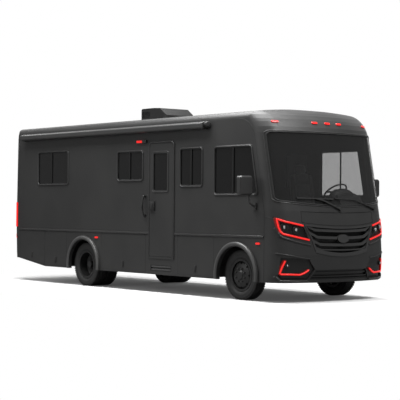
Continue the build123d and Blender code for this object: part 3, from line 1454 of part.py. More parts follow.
def cab_seats():
    """The two front seats: cushions and backs on pedestals, with head rests."""
    rear, front = SEAT_REACH
    half = SEAT_W / 2
    cushion = box(SEAT_X - rear, SEAT_X + front, -half, half, SEAT_TOP_Z - SEAT_T, SEAT_TOP_Z)
    cushion = fillet(cushion.edges(), CUSHION_R)
    rear, front, side = PEDESTAL
    pedestal = box(SEAT_X - rear, SEAT_X + front, -side, side, FLOOR_Z, SEAT_TOP_Z - SEAT_T + 1)
    back = fillet(box(-BACK_T / 2, BACK_T / 2, -half, half, 0, BACK_H).edges(), CUSHION_R)
    rest = box(-REST_T / 2, REST_T / 2, -REST_W / 2, REST_W / 2, BACK_H - 10, BACK_H + REST_H)
    rest = fillet(rest.edges(), CUSHION_R - 10)
    upright = Pos(SEAT_X - BACK_SETBACK, 0, SEAT_TOP_Z - SEAT_T / 2) * Rot(0, -BACK_TILT, 0) * (back + rest)
    seat = cushion + pedestal + upright
    return Compound([*(Pos(0, SEAT_Y, 0) * seat).solids(), *(Pos(0, -SEAT_Y, 0) * seat).solids()])


def write(parts):
    """One STEP file for each piece."""
    os.makedirs("parts", exist_ok=True)
    for name, shape in parts.items():
        shape.label = name
        export_step(shape, f"parts/{name}.step")


def make_parts():
    """Every piece of the vehicle by its name."""
    wall = side_wall()
    skirt = side_skirt()
    bays = storage_bays()
    parts = {
        "chassis_frame": chassis_frame(),
        "leaf_springs": leaf_springs(),
        "front_axle": front_axle(),
        "rear_axle": rear_axle(),
        "engine_block": engine_block(),
        "drive_line": drive_line(),
        "radiator": radiator(),
        "fuel_tank": fuel_tank(),
        "exhaust": exhaust(),
        "hitch_receiver": hitch_receiver(),
        "floor": floor(),
        "entry_steps": entry_steps(),
        "wall_right": wall - doorway_block(),
        "wall_left": other_side(wall),
        "skirt_right": skirt - doorway_block() - step_pocket(0),
        "skirt_left": other_side(skirt),
        "storage_bays_right": bays,
        "storage_bays_left": other_side(bays),
        "roof_panel": roof_panel(),
        "front_cap": front_cap(),
        "rear_cap": rear_cap(),
        "windshield": windshield(),
        "window_frames": window_frames(),
        "window_glass": window_glass(),
        "hood_lid": hood_lid(),
        "grille": Compound([*grille().solids(), *air_intake().solids()]),
        "front_lamps": front_lamps(),
        "headlamp_lenses": headlamp_lenses(),
        "led_strips": led_strips(),
        "marker_lamps": marker_lamps(),
        "tail_lamps": tail_lamps(),
        "mirrors": mirrors(),
        "wipers": wipers(),
        "awning": awning(),
        "roof_air_conditioner": roof_air_conditioner(),
        "entry_door_frame": entry_door_frame(),
        "entry_door": entry_door(),
        "entry_door_glass": entry_door_glass(),
        "grab_handle": grab_handle(),
        "dashboard": dashboard(),
        "steering_wheel": steering_wheel(),
        "cab_seats": cab_seats(),
    }
    for count, row in enumerate(BAYS, start=1):
        door = bay_door(row)
        parts[f"bay_door_right_{count}"] = door
        parts[f"bay_door_left_{count}"] = other_side(door)
    for name, maker in (
        ("knuckle", knuckle), ("front_wheel", front_wheel), ("front_tyre", front_tyre),
        ("rear_wheels", rear_wheel), ("rear_tyres", rear_tyres),
    ):
        piece = maker()
        parts[f"{name}_left"] = piece
        parts[f"{name}_right"] = other_side(piece)
    return parts


write(make_parts())
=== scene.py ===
# %% [markdown]
# # A motorhome in a studio
#
# The real object is a motorhome on a truck chassis, painted matte charcoal, with red lamps. Its solids come
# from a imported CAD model. This notebook dresses them: it sets up a camera, a floor and lights, writes the
# finishes as node materials, and models the small pieces that the solids leave out. Every length is in
# metres, X points forward, Y to the driver's side and Z up.

# %% Load the solids
import math

import bmesh
import bpy
from mathutils import Matrix, Vector


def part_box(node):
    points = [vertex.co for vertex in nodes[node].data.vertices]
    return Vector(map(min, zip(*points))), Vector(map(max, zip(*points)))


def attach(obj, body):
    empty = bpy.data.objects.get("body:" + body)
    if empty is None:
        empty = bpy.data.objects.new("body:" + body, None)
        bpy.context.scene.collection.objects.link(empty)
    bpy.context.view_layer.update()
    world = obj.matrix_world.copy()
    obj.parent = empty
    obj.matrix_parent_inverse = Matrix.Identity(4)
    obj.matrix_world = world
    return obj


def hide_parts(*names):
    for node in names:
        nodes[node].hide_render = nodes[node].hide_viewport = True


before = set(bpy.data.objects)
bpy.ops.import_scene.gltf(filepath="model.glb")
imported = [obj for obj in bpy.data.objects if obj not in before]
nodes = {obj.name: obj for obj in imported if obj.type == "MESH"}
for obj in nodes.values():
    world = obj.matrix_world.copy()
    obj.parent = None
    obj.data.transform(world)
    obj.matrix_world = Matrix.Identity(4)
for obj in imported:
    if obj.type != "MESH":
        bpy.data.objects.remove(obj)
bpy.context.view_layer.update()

# %% [markdown]
# ## Camera
#
# The picture is taken from the front right, well away and low, with a long lens, so upright edges stay
# upright. A camera can be aimed with a constraint, but a matrix from its yaw, pitch and roll says exactly
# where it looks. The lens follows from the focal length in pixels of a picture 400 pixels wide.

# %% Camera
CAMERA_PLACE = Vector((20.0705, -15.6175, 1.5747))
CAMERA_YAW = 2.4695
CAMERA_PITCH = 0.0059
CAMERA_ROLL = 0.0080
FOCAL_PIXELS = 1302.2
PICTURE_WIDTH = 400
SENSOR_MM = 36.0

forward = Vector((
    math.cos(CAMERA_PITCH) * math.cos(CAMERA_YAW),
    math.cos(CAMERA_PITCH) * math.sin(CAMERA_YAW),
    math.sin(CAMERA_PITCH),
))
level_right = forward.cross(Vector((0, 0, 1))).normalized()
level_up = level_right.cross(forward)
cos_roll, sin_roll = math.cos(CAMERA_ROLL), math.sin(CAMERA_ROLL)
right = cos_roll * level_right + sin_roll * level_up
up = cos_roll * level_up - sin_roll * level_right
camera = bpy.data.objects.new("camera", bpy.data.cameras.new("camera"))
bpy.context.scene.collection.objects.link(camera)
turn = Matrix((right, up, -forward)).transposed().to_4x4()
camera.matrix_world = Matrix.Translation(CAMERA_PLACE) @ turn
camera.data.sensor_width = SENSOR_MM
camera.data.lens = SENSOR_MM * FOCAL_PIXELS / PICTURE_WIDTH
camera.data.clip_end = 300
bpy.context.scene.camera = camera
print("lens", round(camera.data.lens, 1), "mm")

# %% [markdown]
# ## Shader maths
#
# A material is a sum of masks, noises and colours. Wiring dozens of Math nodes by hand hides that sum, so a
# small class wraps a socket and turns Python's operators into Math nodes. A second class is the material
# under construction: one of its methods makes any other node from its type, its settings and its inputs.

# %% Shader maths
def operator(operation, swapped=False):
    """A Python operator that adds a Math node; the swapped form has the number first."""
    if swapped:
        return lambda shade, other: shade.math(operation, other, shade)
    return lambda shade, other: shade.math(operation, shade, other)


class Shade:
    """A value or colour inside a material, which can be used in sums like a number."""

    def __init__(self, finish, socket):
        self.finish, self.socket = finish, socket

    def math(self, operation, first, second=None):
        inputs = {0: first} if second is None else {0: first, 1: second}
        return self.finish.node("ShaderNodeMath", {"operation": operation}, inputs)

    __add__, __radd__ = operator("ADD"), operator("ADD", True)
    __sub__, __rsub__ = operator("SUBTRACT"), operator("SUBTRACT", True)
    __mul__, __rmul__ = operator("MULTIPLY"), operator("MULTIPLY", True)
    __truediv__, __rtruediv__ = operator("DIVIDE"), operator("DIVIDE", True)
    __pow__, __gt__, __lt__ = operator("POWER"), operator("GREATER_THAN"), operator("LESS_THAN")

    def fold(self, period):
        """A triangle wave: the distance to the nearest multiple of a period, from 0 to half of it."""
        return self.math("PINGPONG", self, period / 2)

    def size(self):
        return self.math("ABSOLUTE", self)

    def between(self, low, high):
        """0 below the low value, 1 above the high one, and a ramp between."""
        settings = {"interpolation_type": "SMOOTHSTEP"}
        return self.finish.node("ShaderNodeMapRange", settings, {0: self, 1: low, 2: high, 3: 0.0, 4: 1.0})


print("sums of nodes ready")

# %% Materials under construction
class Finish:
    """A material under construction."""

    def __init__(self, name):
        self.material = bpy.data.materials.new(name)
        self.material.use_nodes = True
        self.tree = self.material.node_tree
        self.tree.nodes.clear()
        self.place = self.node("ShaderNodeTexCoord", output="Object")

    def node(self, kind, settings=None, inputs=None, output=0):
        """A node of a type, with its settings made first and then its inputs set or linked."""
        made = self.tree.nodes.new(kind)
        for key, value in (settings or {}).items():
            setattr(made, key, value)
        for key, value in (inputs or {}).items():
            if isinstance(value, Shade):
                self.tree.links.new(value.socket, made.inputs[key])
            else:
                made.inputs[key].default_value = value
        return Shade(self, made.outputs[output])

    def noise(self, scale, detail=3.0, rough=0.5, where=None, stretch=None):
        """Cloudy noise with a mean near 0.5, that follows the object."""
        spot = where or self.place
        if stretch:
            spot = self.node("ShaderNodeMapping", inputs={"Vector": spot, "Scale": stretch})
        inputs = {"Vector": spot, "Scale": scale, "Detail": detail, "Roughness": rough}
        return self.node("ShaderNodeTexNoise", inputs=inputs)

    def axes(self):
        """The three coordinates of the point."""
        split = self.tree.nodes.new("ShaderNodeSeparateXYZ")
        self.tree.links.new(self.place.socket, split.inputs[0])
        return [Shade(self, out) for out in split.outputs]

    def mix(self, mask, dark, light):
        """One colour where the mask is 0, another where it is 1."""
        return self.node("ShaderNodeMix", {"data_type": "RGBA"}, {0: mask, 6: dark, 7: light}, 2)

    def bump(self, height, distance, strength=1.0):
        """A Normal from a height, in metres of depth."""
        inputs = {"Height": height, "Distance": distance, "Strength": strength}
        return self.node("ShaderNodeBump", inputs=inputs)

    def surface(self, **inputs):
        """The Principled surface and the output; keys are socket names with underscores for spaces."""
        named = {key.replace("_", " "): value for key, value in inputs.items()}
        shader = self.node("ShaderNodeBsdfPrincipled", inputs=named)
        out = self.tree.nodes.new("ShaderNodeOutputMaterial")
        self.tree.links.new(shader.socket, out.inputs[0])
        return self.material


def grey(level, tint=(1.0, 1.0, 1.0)):
    """A colour from one level and a slight tint."""
    return (level * tint[0], level * tint[1], level * tint[2], 1.0)


print("materials can be built")

# %% [markdown]
# ## Body paint
#
# The coach is painted in a matte charcoal. Matte paint is never one flat colour: its flattening grains
# scatter light, its film is slightly uneven, and road dust gathers low on the sides. So the colour is a
# slow cloud of two close greys with dust added near the ground, the roughness follows the same cloud, and
# a fine noise gives the surface its dry texture. The inner faces of the walls and the roof, which lie closer
# to the middle than the middle of the panel, take a near black: painted shade for the dark inside of the
# coach. The front shell, the flares, the trim and the roof unit take their own levels of the same paint: the
# flares and the trim a lighter copy as painted highlight, the front shell and the roof unit a darker one as
# painted shade.

# %% Body paint
PAINT = 0.027
DUST_LOW_Z, DUST_TOP_Z = 0.3, 0.75
SHADED_WITHIN_Y = 1.2625
SHADED_BELOW_Z = 3.26
ROOF_CROWN = 0.0476


def matte_paint(name, level, roughness, dust=1.0, shaded_inside=False, dark_within=0.0, dark_below=0.0):
    """Matte paint with clouding, fine grain and dust near the ground, and near black painted shade
    inside, low or set back if asked.
    """
    finish = Finish(name)
    cloud = finish.noise(1.3, 4.0)
    grain = finish.noise(900.0, 2.0)
    film = finish.noise(55.0, 2.0)
    _, y, z = finish.axes()
    patches = finish.noise(6.0, 5.0, 0.6).between(0.35, 0.75)
    low = (1.0 - z.between(DUST_LOW_Z, DUST_TOP_Z)) * patches * (0.35 * dust)
    tone = finish.mix(cloud.between(0.35, 0.65), grey(level * 0.93), grey(level * 1.07, (1.0, 1.0, 0.985)))
    colour = finish.mix(low, tone, grey(level * 1.5, (1.0, 0.97, 0.92)))
    # Painted shade: the inner faces of the walls and the roof turn near black, for the unlit inside.
    if shaded_inside:
        inside = (y.size() < SHADED_WITHIN_Y) * (z + y * y * ROOF_CROWN < SHADED_BELOW_Z)
        colour = finish.mix(inside, colour, grey(0.012))
    # Painted shade: below the given height the colour turns near black.
    if dark_below:
        colour = finish.mix(z < dark_below, colour, grey(0.006))
    # Painted shade: faces nearer the middle than the given distance, set back from the front, turn near
    # black.
    if dark_within:
        colour = finish.mix(y.size() < dark_within, colour, grey(0.010))
    height = grain * 0.5 + film
    rough = roughness + (cloud - 0.5) * 0.12 + low * 0.2
    return finish.surface(Base_Color=colour, Roughness=rough, Normal=finish.bump(height, 0.0004, 0.5))


body_paint = matte_paint("body_paint", PAINT, 0.42, shaded_inside=True)
shell_paint = matte_paint("shell_paint", PAINT, 0.42)
# Painted shade: the front cap takes a slightly darker copy of the body paint, with no dust.
shaded_cap_paint = matte_paint("shaded_cap_paint", PAINT * 0.9, 0.46, 0.0)
# Painted shade: the window frames' faces set back from their fronts are near black, as shade in the recess.
frame_paint = matte_paint("frame_paint", PAINT, 0.40, 0.0, dark_within=1.2935)
# Painted highlight: beads, belts, nuts, awning and mirrors take a lighter copy of the body paint.
highlight_trim_paint = matte_paint("highlight_trim_paint", PAINT * 1.3, 0.34, 0.0)
# Painted shade: the grille's bars below 0.66 m are near black, as shade in the lower intake.
bar_paint = matte_paint("bar_paint", 0.040, 0.33, 0.0, dark_below=0.66)
# Painted shade: the roof unit takes a much darker copy of the body paint, against the lamp above it.
shaded_roof_unit_paint = matte_paint("shaded_roof_unit_paint", 0.008, 0.38, 0.0)
# Painted highlight: the wheel flares take a copy of the body paint nearly three times lighter.
highlight_flare_paint = matte_paint("highlight_flare_paint", PAINT * 2.7, 0.34, 0.4)
# Painted highlight: a light grey for the front edges of the step's boards.
highlight_step_paint = matte_paint("highlight_step_paint", 0.060, 0.40, 0.0)
wheel_paint = matte_paint("wheel_paint", 0.013, 0.40)
print("matte paints made")

# %% [markdown]
# ## Plastics, rubber and chassis paint
#
# Moulded black plastic has a fine leathery grain and is a little greyer where it is scuffed. Tyre rubber is
# dull, with a fine skin, and greyer in the patches where dust sits. Chassis paint is satin black with a film
# of road dust.

# %% Plastics and rubber
def moulded(name, level, roughness, grain=420.0, depth=0.00035, coat=0.0):
    """Moulded plastic with a pebbled grain and faint scuffs."""
    finish = Finish(name)
    pebbles = finish.node(
        "ShaderNodeTexVoronoi", {"feature": "SMOOTH_F1"},
        {"Vector": finish.place, "Scale": grain, "Smoothness": 0.6},
    )
    scuff = finish.noise(9.0, 5.0, 0.65).between(0.52, 0.8)
    colour = finish.mix(scuff * 0.5, grey(level), grey(level * 1.6))
    rough = roughness + scuff * 0.12 + (finish.noise(3.0) - 0.5) * 0.1
    return finish.surface(
        Base_Color=colour, Roughness=rough, Coat_Weight=coat, Normal=finish.bump(pebbles, depth, 0.6),
    )


def chassis_paint():
    """Satin black paint with a patchy film of dust."""
    finish = Finish("chassis_paint")
    dust = finish.noise(4.0, 6.0, 0.6).between(0.4, 0.8)
    colour = finish.mix(dust * 0.6, grey(0.018), grey(0.06, (1.0, 0.95, 0.88)))
    rough = 0.45 + dust * 0.3
    lumps = finish.noise(120.0, 3.0)
    return finish.surface(Base_Color=colour, Roughness=rough, Normal=finish.bump(lumps, 0.0006, 0.5))


def tyre_rubber():
    """Rubber with dust in its low places."""
    finish = Finish("tyre_rubber")
    worn = finish.noise(14.0, 5.0, 0.6).between(0.35, 0.75)
    colour = finish.mix(worn * 0.5, grey(0.018), grey(0.034, (1.0, 0.97, 0.93)))
    rough = 0.62 + worn * 0.18
    skin = finish.noise(350.0, 3.0)
    return finish.surface(Base_Color=colour, Roughness=rough, Normal=finish.bump(skin, 0.0005, 0.5))


black_plastic = moulded("black_plastic", 0.02, 0.5)
gloss_black = moulded("gloss_black", 0.012, 0.2, 900.0, 0.0001, 0.4)
seal_rubber = moulded("seal_rubber", 0.012, 0.65, 260.0, 0.0004)
chassis_black = chassis_paint()
rubber = tyre_rubber()
print("plastics and rubber made")

# %% [markdown]
# ## Metals
#
# Bare steel shows fine machining lines, and sprung steel a dark scale with rusty freckles. The radiator is a
# stack of thin fins: a fold across its height paints shade in the room between them. The panel behind the
# grille has rows of slots, made the same way and painted near black as shade. The mirrors' glass is a smooth
# metal with a few smears.

# %% Bare and sprung steel
def bare_metal():
    """Machined steel with fine lines and a little staining."""
    finish = Finish("bare_metal")
    lines = finish.noise(60.0, 3.0, 0.6, stretch=(1.0, 30.0, 30.0))
    stain = finish.noise(8.0, 4.0).between(0.5, 0.8)
    colour = finish.mix(stain, grey(0.34), grey(0.2, (1.0, 0.93, 0.85)))
    rough = 0.3 + stain * 0.3 + (lines - 0.5) * 0.2
    return finish.surface(Base_Color=colour, Roughness=rough, Metallic=0.9,
                          Normal=finish.bump(lines, 0.0002, 0.4))


def dark_steel():
    """Forged steel with scale and rust freckles."""
    finish = Finish("dark_steel")
    rust = finish.noise(30.0, 6.0, 0.7).between(0.58, 0.72)
    colour = finish.mix(rust * 0.7, grey(0.04), (0.09, 0.045, 0.025, 1.0))
    rough = 0.5 + rust * 0.3
    scale = finish.noise(90.0, 4.0)
    return finish.surface(Base_Color=colour, Roughness=rough, Metallic=0.4,
                          Normal=finish.bump(scale, 0.0008, 0.6))


bare_steel = bare_metal()
spring_steel = dark_steel()
print("steels made")

# %% Radiator fins, mirror glass and grille mesh
FIN_PITCH, TUBE_PITCH = 0.012, 0.045


def fins():
    """Dark aluminium fins, crossed by the tubes that they sit on."""
    finish = Finish("fins")
    _, y, z = finish.axes()
    wave = z.fold(FIN_PITCH) / (FIN_PITCH / 2)
    tubes = y.fold(TUBE_PITCH) / (TUBE_PITCH / 2)
    shade = wave * (tubes > 0.2)
    # Painted shade: the room between the fins goes near black.
    colour = finish.mix(shade, grey(0.012), grey(0.12))
    return finish.surface(Base_Color=colour, Roughness=0.4 + wave * 0.2, Metallic=0.7,
                          Normal=finish.bump(shade, 0.004, 0.8))


def mirror_glass():
    """Silvered glass with a few smears."""
    finish = Finish("mirror_glass")
    smear = finish.noise(12.0, 5.0, 0.7).between(0.5, 0.85)
    colour = finish.mix(smear, grey(0.78), grey(0.6))
    return finish.surface(Base_Color=colour, Metallic=1.0, Roughness=0.02 + smear * 0.12)


MESH_PITCH = 0.016


def open_mesh():
    """A black panel with rows of small slots, bumped in and painted near black as shade."""
    finish = Finish("shaded_grille_mesh")
    x, y, z = finish.axes()
    slots = (z.fold(MESH_PITCH) > MESH_PITCH * 0.16) * ((x + y).fold(MESH_PITCH * 2.2) > MESH_PITCH * 0.18)
    # Painted shade: the slots are near black, as the dark behind holes would be.
    colour = finish.mix(slots, grey(0.016), grey(0.002))
    return finish.surface(Base_Color=colour, Roughness=0.5 + slots * 0.3,
                          Normal=finish.bump(1.0 - slots, 0.003, 0.8))


silvered = mirror_glass()
shaded_grille_mesh = open_mesh()
radiator_fins = fins()
print("fins, mirror glass and mesh made")

# %% [markdown]
# ## Glass
#
# The side glass is a dark privacy tint, nearly black and glossy. The driver's window is lighter, as the law
# asks, and so is the windshield, so the seats and the dashboard show through them. Each is a mix of a glossy
# surface and see-through glass, with faint streaks that dull the gloss. A mask on the place of the driver's
# window lets one material serve all the panes.

# %% Glass
CAB_REAR_X = 2.4


def tinted(name, tint, alpha, driver_alpha=None):
    """Tinted glass: a glossy dark skin that lets part of what is behind it through."""
    finish = Finish(name)
    x, y, _ = finish.axes()
    streak = finish.noise(5.0, 4.0, 0.6, stretch=(1.0, 1.0, 0.25)).between(0.5, 0.85)
    colour = finish.mix(streak * 0.15, grey(tint), grey(tint * 2.5))
    cover = alpha + streak * 0.03
    if driver_alpha is not None:
        driver = (x > CAB_REAR_X) * (y > 0.0)
        cover = cover - driver * (alpha - driver_alpha)
    return finish.surface(Base_Color=colour, Roughness=0.05 + streak * 0.08, Alpha=cover, IOR=1.45)


side_glass = tinted("side_glass", 0.007, 0.95, 0.22)
door_glass = tinted("door_glass", 0.007, 0.95)
front_glass = tinted("front_glass", 0.035, 0.34)
lamp_cover = tinted("lamp_cover", 0.02, 0.08)
print("glass made")

# %% [markdown]
# ## Lamps
#
# The red lamps glow, so their lenses also give off light, and fine flutes spread it. A lamp's housing is
# black but for a bright ring round each of its eyes, which a distance from the eye's middle finds. The clear
# lens in each eye has a bright disc painted in its middle: a painted highlight.

# %% Red lenses
FLUTE_PITCH = 0.008


def red_lens(name, glow, base=0.5):
    """A red lamp lens with fine flutes and its own light."""
    finish = Finish(name)
    x, y, z = finish.axes()
    flutes = (x + y + z).fold(FLUTE_PITCH) / (FLUTE_PITCH / 2)
    colour = finish.mix(flutes * 0.3, (base, 0.008, 0.008, 1.0), (base * 1.2, 0.03, 0.025, 1.0))
    light = finish.mix(flutes * 0.3, (0.9, 0.014, 0.012, 1.0), (1.0, 0.05, 0.04, 1.0))
    return finish.surface(Base_Color=colour, Roughness=0.25 + flutes * 0.05, Emission_Color=light,
                          Emission_Strength=glow, Normal=finish.bump(flutes, 0.0008, 0.4))


red_lamp = red_lens("red_lamp", 0.75)
red_edge = red_lens("red_edge", 0.10, 0.12)
red_strip = red_lens("red_strip", 0.95, 0.3)
print("red lenses made")

# %% Lamp housings and projector lenses
LAMP_EYES = (
    # Y on both sides, Z, radius
    (1.128, 1.262, 0.062), (0.938, 1.222, 0.062), (1.096, 0.632, 0.036),
)


def from_eyes(finish):
    """The distance from each eye, with the eye's radius."""
    _, y, z = finish.axes()
    for eye_y, eye_z, radius in LAMP_EYES:
        across, up = y.size() - eye_y, z - eye_z
        yield (across * across + up * up) ** 0.5, radius


def lamp_housing():
    """Black plastic with a bright ring round each eye."""
    finish = Finish("lamp_housing")
    ring = 0.0
    for reach, radius in from_eyes(finish):
        ring = (reach < radius) * (reach > radius * 0.8) + ring
    scuff = finish.noise(40.0, 3.0)
    colour = finish.mix(ring, grey(0.006), grey(0.05))
    return finish.surface(Base_Color=colour, Metallic=ring * 0.7, Roughness=0.3 + scuff * 0.15,
                          Normal=finish.bump(scuff, 0.0004, 0.4))


def projector():
    """The clear bulging lens of a lamp's eye, with a painted highlight in its middle and dark round its edge.
    """
    finish = Finish("projector")
    # glow here is a painted highlight: a bright disc in each lens's middle, which gives off no light.
    glow = 0.0
    for reach, radius in from_eyes(finish):
        glow = (reach < radius * 0.42) + glow
    rings = finish.noise(70.0, 2.0)
    colour = finish.mix(glow, grey(0.03), grey(0.6))
    return finish.surface(Base_Color=colour, Roughness=0.08 + rings * 0.1, Coat_Weight=1.0,
                          Normal=finish.bump(rings, 0.0006, 0.4))


lamp_black = lamp_housing()
lamp_lens = projector()
print("lamp housings and lenses made")

# %% [markdown]
# ## Cloth and wood
#
# The seats are covered in a dark woven cloth: two folds at right angles make its warp and weft. The floor
# is sealed plywood, whose grain is a noise stretched along the coach.

# %% Cloth and wood
THREAD_PITCH = 0.004


def woven():
    """Dark cloth with a crossed weave."""
    finish = Finish("seat_cloth")
    x, y, z = finish.axes()
    warp = (x + z).fold(THREAD_PITCH) / (THREAD_PITCH / 2)
    weft = (y + z).fold(THREAD_PITCH) / (THREAD_PITCH / 2)
    weave = warp * weft
    fade = finish.noise(5.0, 3.0)
    colour = finish.mix(weave * 0.6 + fade * 0.2, grey(0.10), grey(0.24, (1.0, 0.98, 0.95)))
    return finish.surface(Base_Color=colour, Roughness=0.85 + weave * 0.1, Sheen_Weight=0.3,
                          Normal=finish.bump(weave, 0.0008, 0.7))


def plywood():
    """Sealed plywood with its grain along the coach."""
    finish = Finish("floor_wood")
    grain = finish.noise(3.0, 6.0, 0.6, stretch=(0.6, 14.0, 14.0))
    colour = finish.mix(grain.between(0.3, 0.7), (0.06, 0.045, 0.032, 1.0), (0.13, 0.1, 0.07, 1.0))
    return finish.surface(Base_Color=colour, Roughness=0.5 + grain * 0.15,
                          Normal=finish.bump(grain, 0.0006, 0.5))


seat_cloth = woven()
floor_wood = plywood()
dash_plastic = moulded("dash_plastic", 0.035, 0.6, 260.0, 0.0006)
print("cab finishes made")

# %% [markdown]
# ## Dressing the solids
#
# Every solid keeps its shape and gets one of these finishes in its material slot. A table from finish to
# the names of the solids is easier to read and to change than one line for each.

# %% Finishes for the solids
FINISH_OF = (
    (body_paint, ("wall_right", "wall_left", "roof_panel")),
    (frame_paint, ("window_frames",)),
    (shaded_roof_unit_paint, ("roof_air_conditioner",)),
    (shell_paint, ("skirt_right", "skirt_left", "rear_cap", "hood_lid", "entry_door", "entry_door_frame")
     + tuple(f"bay_door_{side}_{count}" for side in ("right", "left") for count in (1, 2, 3, 4))),
    (shaded_cap_paint, ("front_cap",)),
    (highlight_trim_paint, ("awning", "mirrors")),
    (bar_paint, ("grille",)),
    (black_plastic, ("entry_steps",)),
    (lamp_black, ("front_lamps",)),
    (seal_rubber, ("wipers",)),
    (gloss_black, ("grab_handle",)),
    (chassis_black, ("chassis_frame", "rear_axle", "front_axle", "engine_block", "drive_line", "fuel_tank",
                     "hitch_receiver", "knuckle_left", "knuckle_right", "storage_bays_right",
                     "storage_bays_left")),
    (spring_steel, ("leaf_springs", "exhaust")),
    (radiator_fins, ("radiator",)),
    (side_glass, ("window_glass",)),
    (door_glass, ("entry_door_glass",)),
    (front_glass, ("windshield",)),
    (lamp_cover, ("headlamp_lenses",)),
    (red_lamp, ("marker_lamps", "tail_lamps")),
    (red_edge, ("led_strips",)),
    (rubber, ("front_tyre_left", "front_tyre_right", "rear_tyres_left", "rear_tyres_right")),
    (wheel_paint, ("front_wheel_left", "front_wheel_right", "rear_wheels_left", "rear_wheels_right")),
    (dash_plastic, ("dashboard", "steering_wheel")),
    (seat_cloth, ("cab_seats",)),
    (floor_wood, ("floor",)),
)
for material, names in FINISH_OF:
    for name in names:
        for slot in nodes[name].material_slots:
            slot.material = material
bare = sorted(set(nodes) - {name for _, names in FINISH_OF for name in names})
print("solids without a finish:", bare)

# %% [markdown]
# ## Studio
#
# The real picture has a white room and one soft shadow under the coach. A big pale floor takes that
# shadow. The world is white to the camera and gives an even, gentle light. Five large area lamps add shape:
# a strong one above, one high ahead of the front, and weaker ones on each side and behind.

# %% Floor
FLOOR_HALF = 60.0
SHADOW_FILL = 0.055
BOUNCE = 0.18
FLOOR_FADE = (0.5, 2.4)
FOOTPRINT = (4.2, 1.2)


def floor_finish():
    """A pale floor that fades into the white of the background away from the coach."""
    finish = Finish("studio_floor")
    x, y, _ = finish.axes()
    beyond_x, beyond_y = [
        shade.math("MAXIMUM", shade.size() - half, 0.0) for shade, half in zip((x, y), FOOTPRINT)
    ]
    reach = (beyond_x * beyond_x + beyond_y * beyond_y) ** 0.5
    path = finish.tree.nodes.new("ShaderNodeLightPath")
    seen = Shade(finish, path.outputs["Is Camera Ray"])
    tone = finish.mix(finish.noise(0.8, 2.0), grey(0.92), grey(0.94))
    colour = finish.mix(seen, grey(BOUNCE), tone)
    diffuse = finish.node("ShaderNodeBsdfDiffuse", inputs={"Color": colour})
    white = finish.node("ShaderNodeEmission", inputs={"Color": (1, 1, 1, 1), "Strength": 1.0})
    far = reach.between(*FLOOR_FADE) * seen * (1.0 - SHADOW_FILL) + seen * SHADOW_FILL
    mixed = finish.node("ShaderNodeMixShader", inputs={0: far, 1: diffuse, 2: white})
    out = finish.tree.nodes.new("ShaderNodeOutputMaterial")
    finish.tree.links.new(mixed.socket, out.inputs[0])
    return finish.material


sheet = bmesh.new()
bmesh.ops.create_grid(sheet, x_segments=1, y_segments=1, size=FLOOR_HALF)
floor_mesh = bpy.data.meshes.new("studio_floor")
sheet.to_mesh(floor_mesh)
sheet.free()
floor_mesh.materials.append(floor_finish())
studio_floor = bpy.data.objects.new("studio_floor", floor_mesh)
bpy.context.scene.collection.objects.link(studio_floor)
print("studio floor laid")

# %% World
WORLD_LEVEL = 0.24
world = bpy.data.worlds.new("studio")
world.use_nodes = True
bpy.context.scene.world = world
sky = world.node_tree
sky.nodes.clear()
path = sky.nodes.new("ShaderNodeLightPath")
mix = sky.nodes.new("ShaderNodeMixShader")
out = sky.nodes.new("ShaderNodeOutputWorld")
sky.links.new(path.outputs["Is Camera Ray"], mix.inputs[0])
for socket, strength in ((1, WORLD_LEVEL), (2, 1.0)):
    plain = sky.nodes.new("ShaderNodeBackground")
    plain.inputs["Color"].default_value = (1, 1, 1, 1)
    plain.inputs["Strength"].default_value = strength
    sky.links.new(plain.outputs[0], mix.inputs[socket])
sky.links.new(mix.outputs[0], out.inputs[0])
print("world set to", WORLD_LEVEL)

# %% Lamps
LAMPS = (
    # name, place, aim, size, power in watts
    ("top_lamp", (0.0, -1.5, 9.0), (0.0, 0.0, 1.5), 8.0, 2500.0),
    ("side_lamp", (-3.0, -13.0, 6.0), (-1.0, 0.0, 1.5), 7.0, 200.0),
    ("front_lamp", (10.0, 0.0, 11.0), (4.0, 0.0, 2.0), 5.0, 1200.0),
    ("far_lamp", (-2.0, 13.0, 6.0), (0.0, 0.0, 1.5), 7.0, 260.0),
    ("rear_lamp", (-15.0, 2.0, 6.0), (-4.0, 0.0, 1.5), 6.0, 260.0),
)
for name, place, aim, size, power in LAMPS:
    lamp = bpy.data.lights.new(name, "AREA")
    lamp.shape, lamp.size, lamp.energy = "SQUARE", size, power
    holder = bpy.data.objects.new(name, lamp)
    bpy.context.scene.collection.objects.link(holder)
    holder.location = place
    holder.rotation_mode = "QUATERNION"
    holder.rotation_quaternion = (Vector(place) - Vector(aim)).to_track_quat("Z", "Y")
bpy.context.scene.view_settings.view_transform = "Standard"
print(len(LAMPS), "lamps set")

# %% [markdown]
# ## From a bmesh to a piece
#
# Every new piece is modelled in a bmesh with mesh operators and then becomes an object. Its place is in its
# mesh, so the object stays at the origin. It rides on a body and takes its finish from a slot. One function
# does this for all the pieces, so that none is forgotten.

# %% From a bmesh to a piece
BODY = "coach"


def finished(name, bm, material, body=BODY, smooth=40.0):
    """A piece from a bmesh, which rides on a body."""
    bmesh.ops.recalc_face_normals(bm, faces=bm.faces)
    mesh = bpy.data.meshes.new(name)
    bm.to_mesh(mesh)
    bm.free()
    mesh.materials.append(material)
    piece = bpy.data.objects.new(name, mesh)
    bpy.context.scene.collection.objects.link(piece)
    mesh.shade_smooth()
    mesh.set_sharp_from_angle(angle=math.radians(smooth))
    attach(piece, body)
    print(name, len(mesh.polygons), "faces")
    return piece


print("a bmesh can become a piece")

# %% [markdown]
# ## Tyres
#
# A truck tyre has a ribbed tread with cuts across its shoulders, and a sidewall with a few raised rings.
# The solid is a plain ring, so each tyre is replaced by one turned from a fuller section, and a spun set of
# small blocks makes the shoulder lugs.

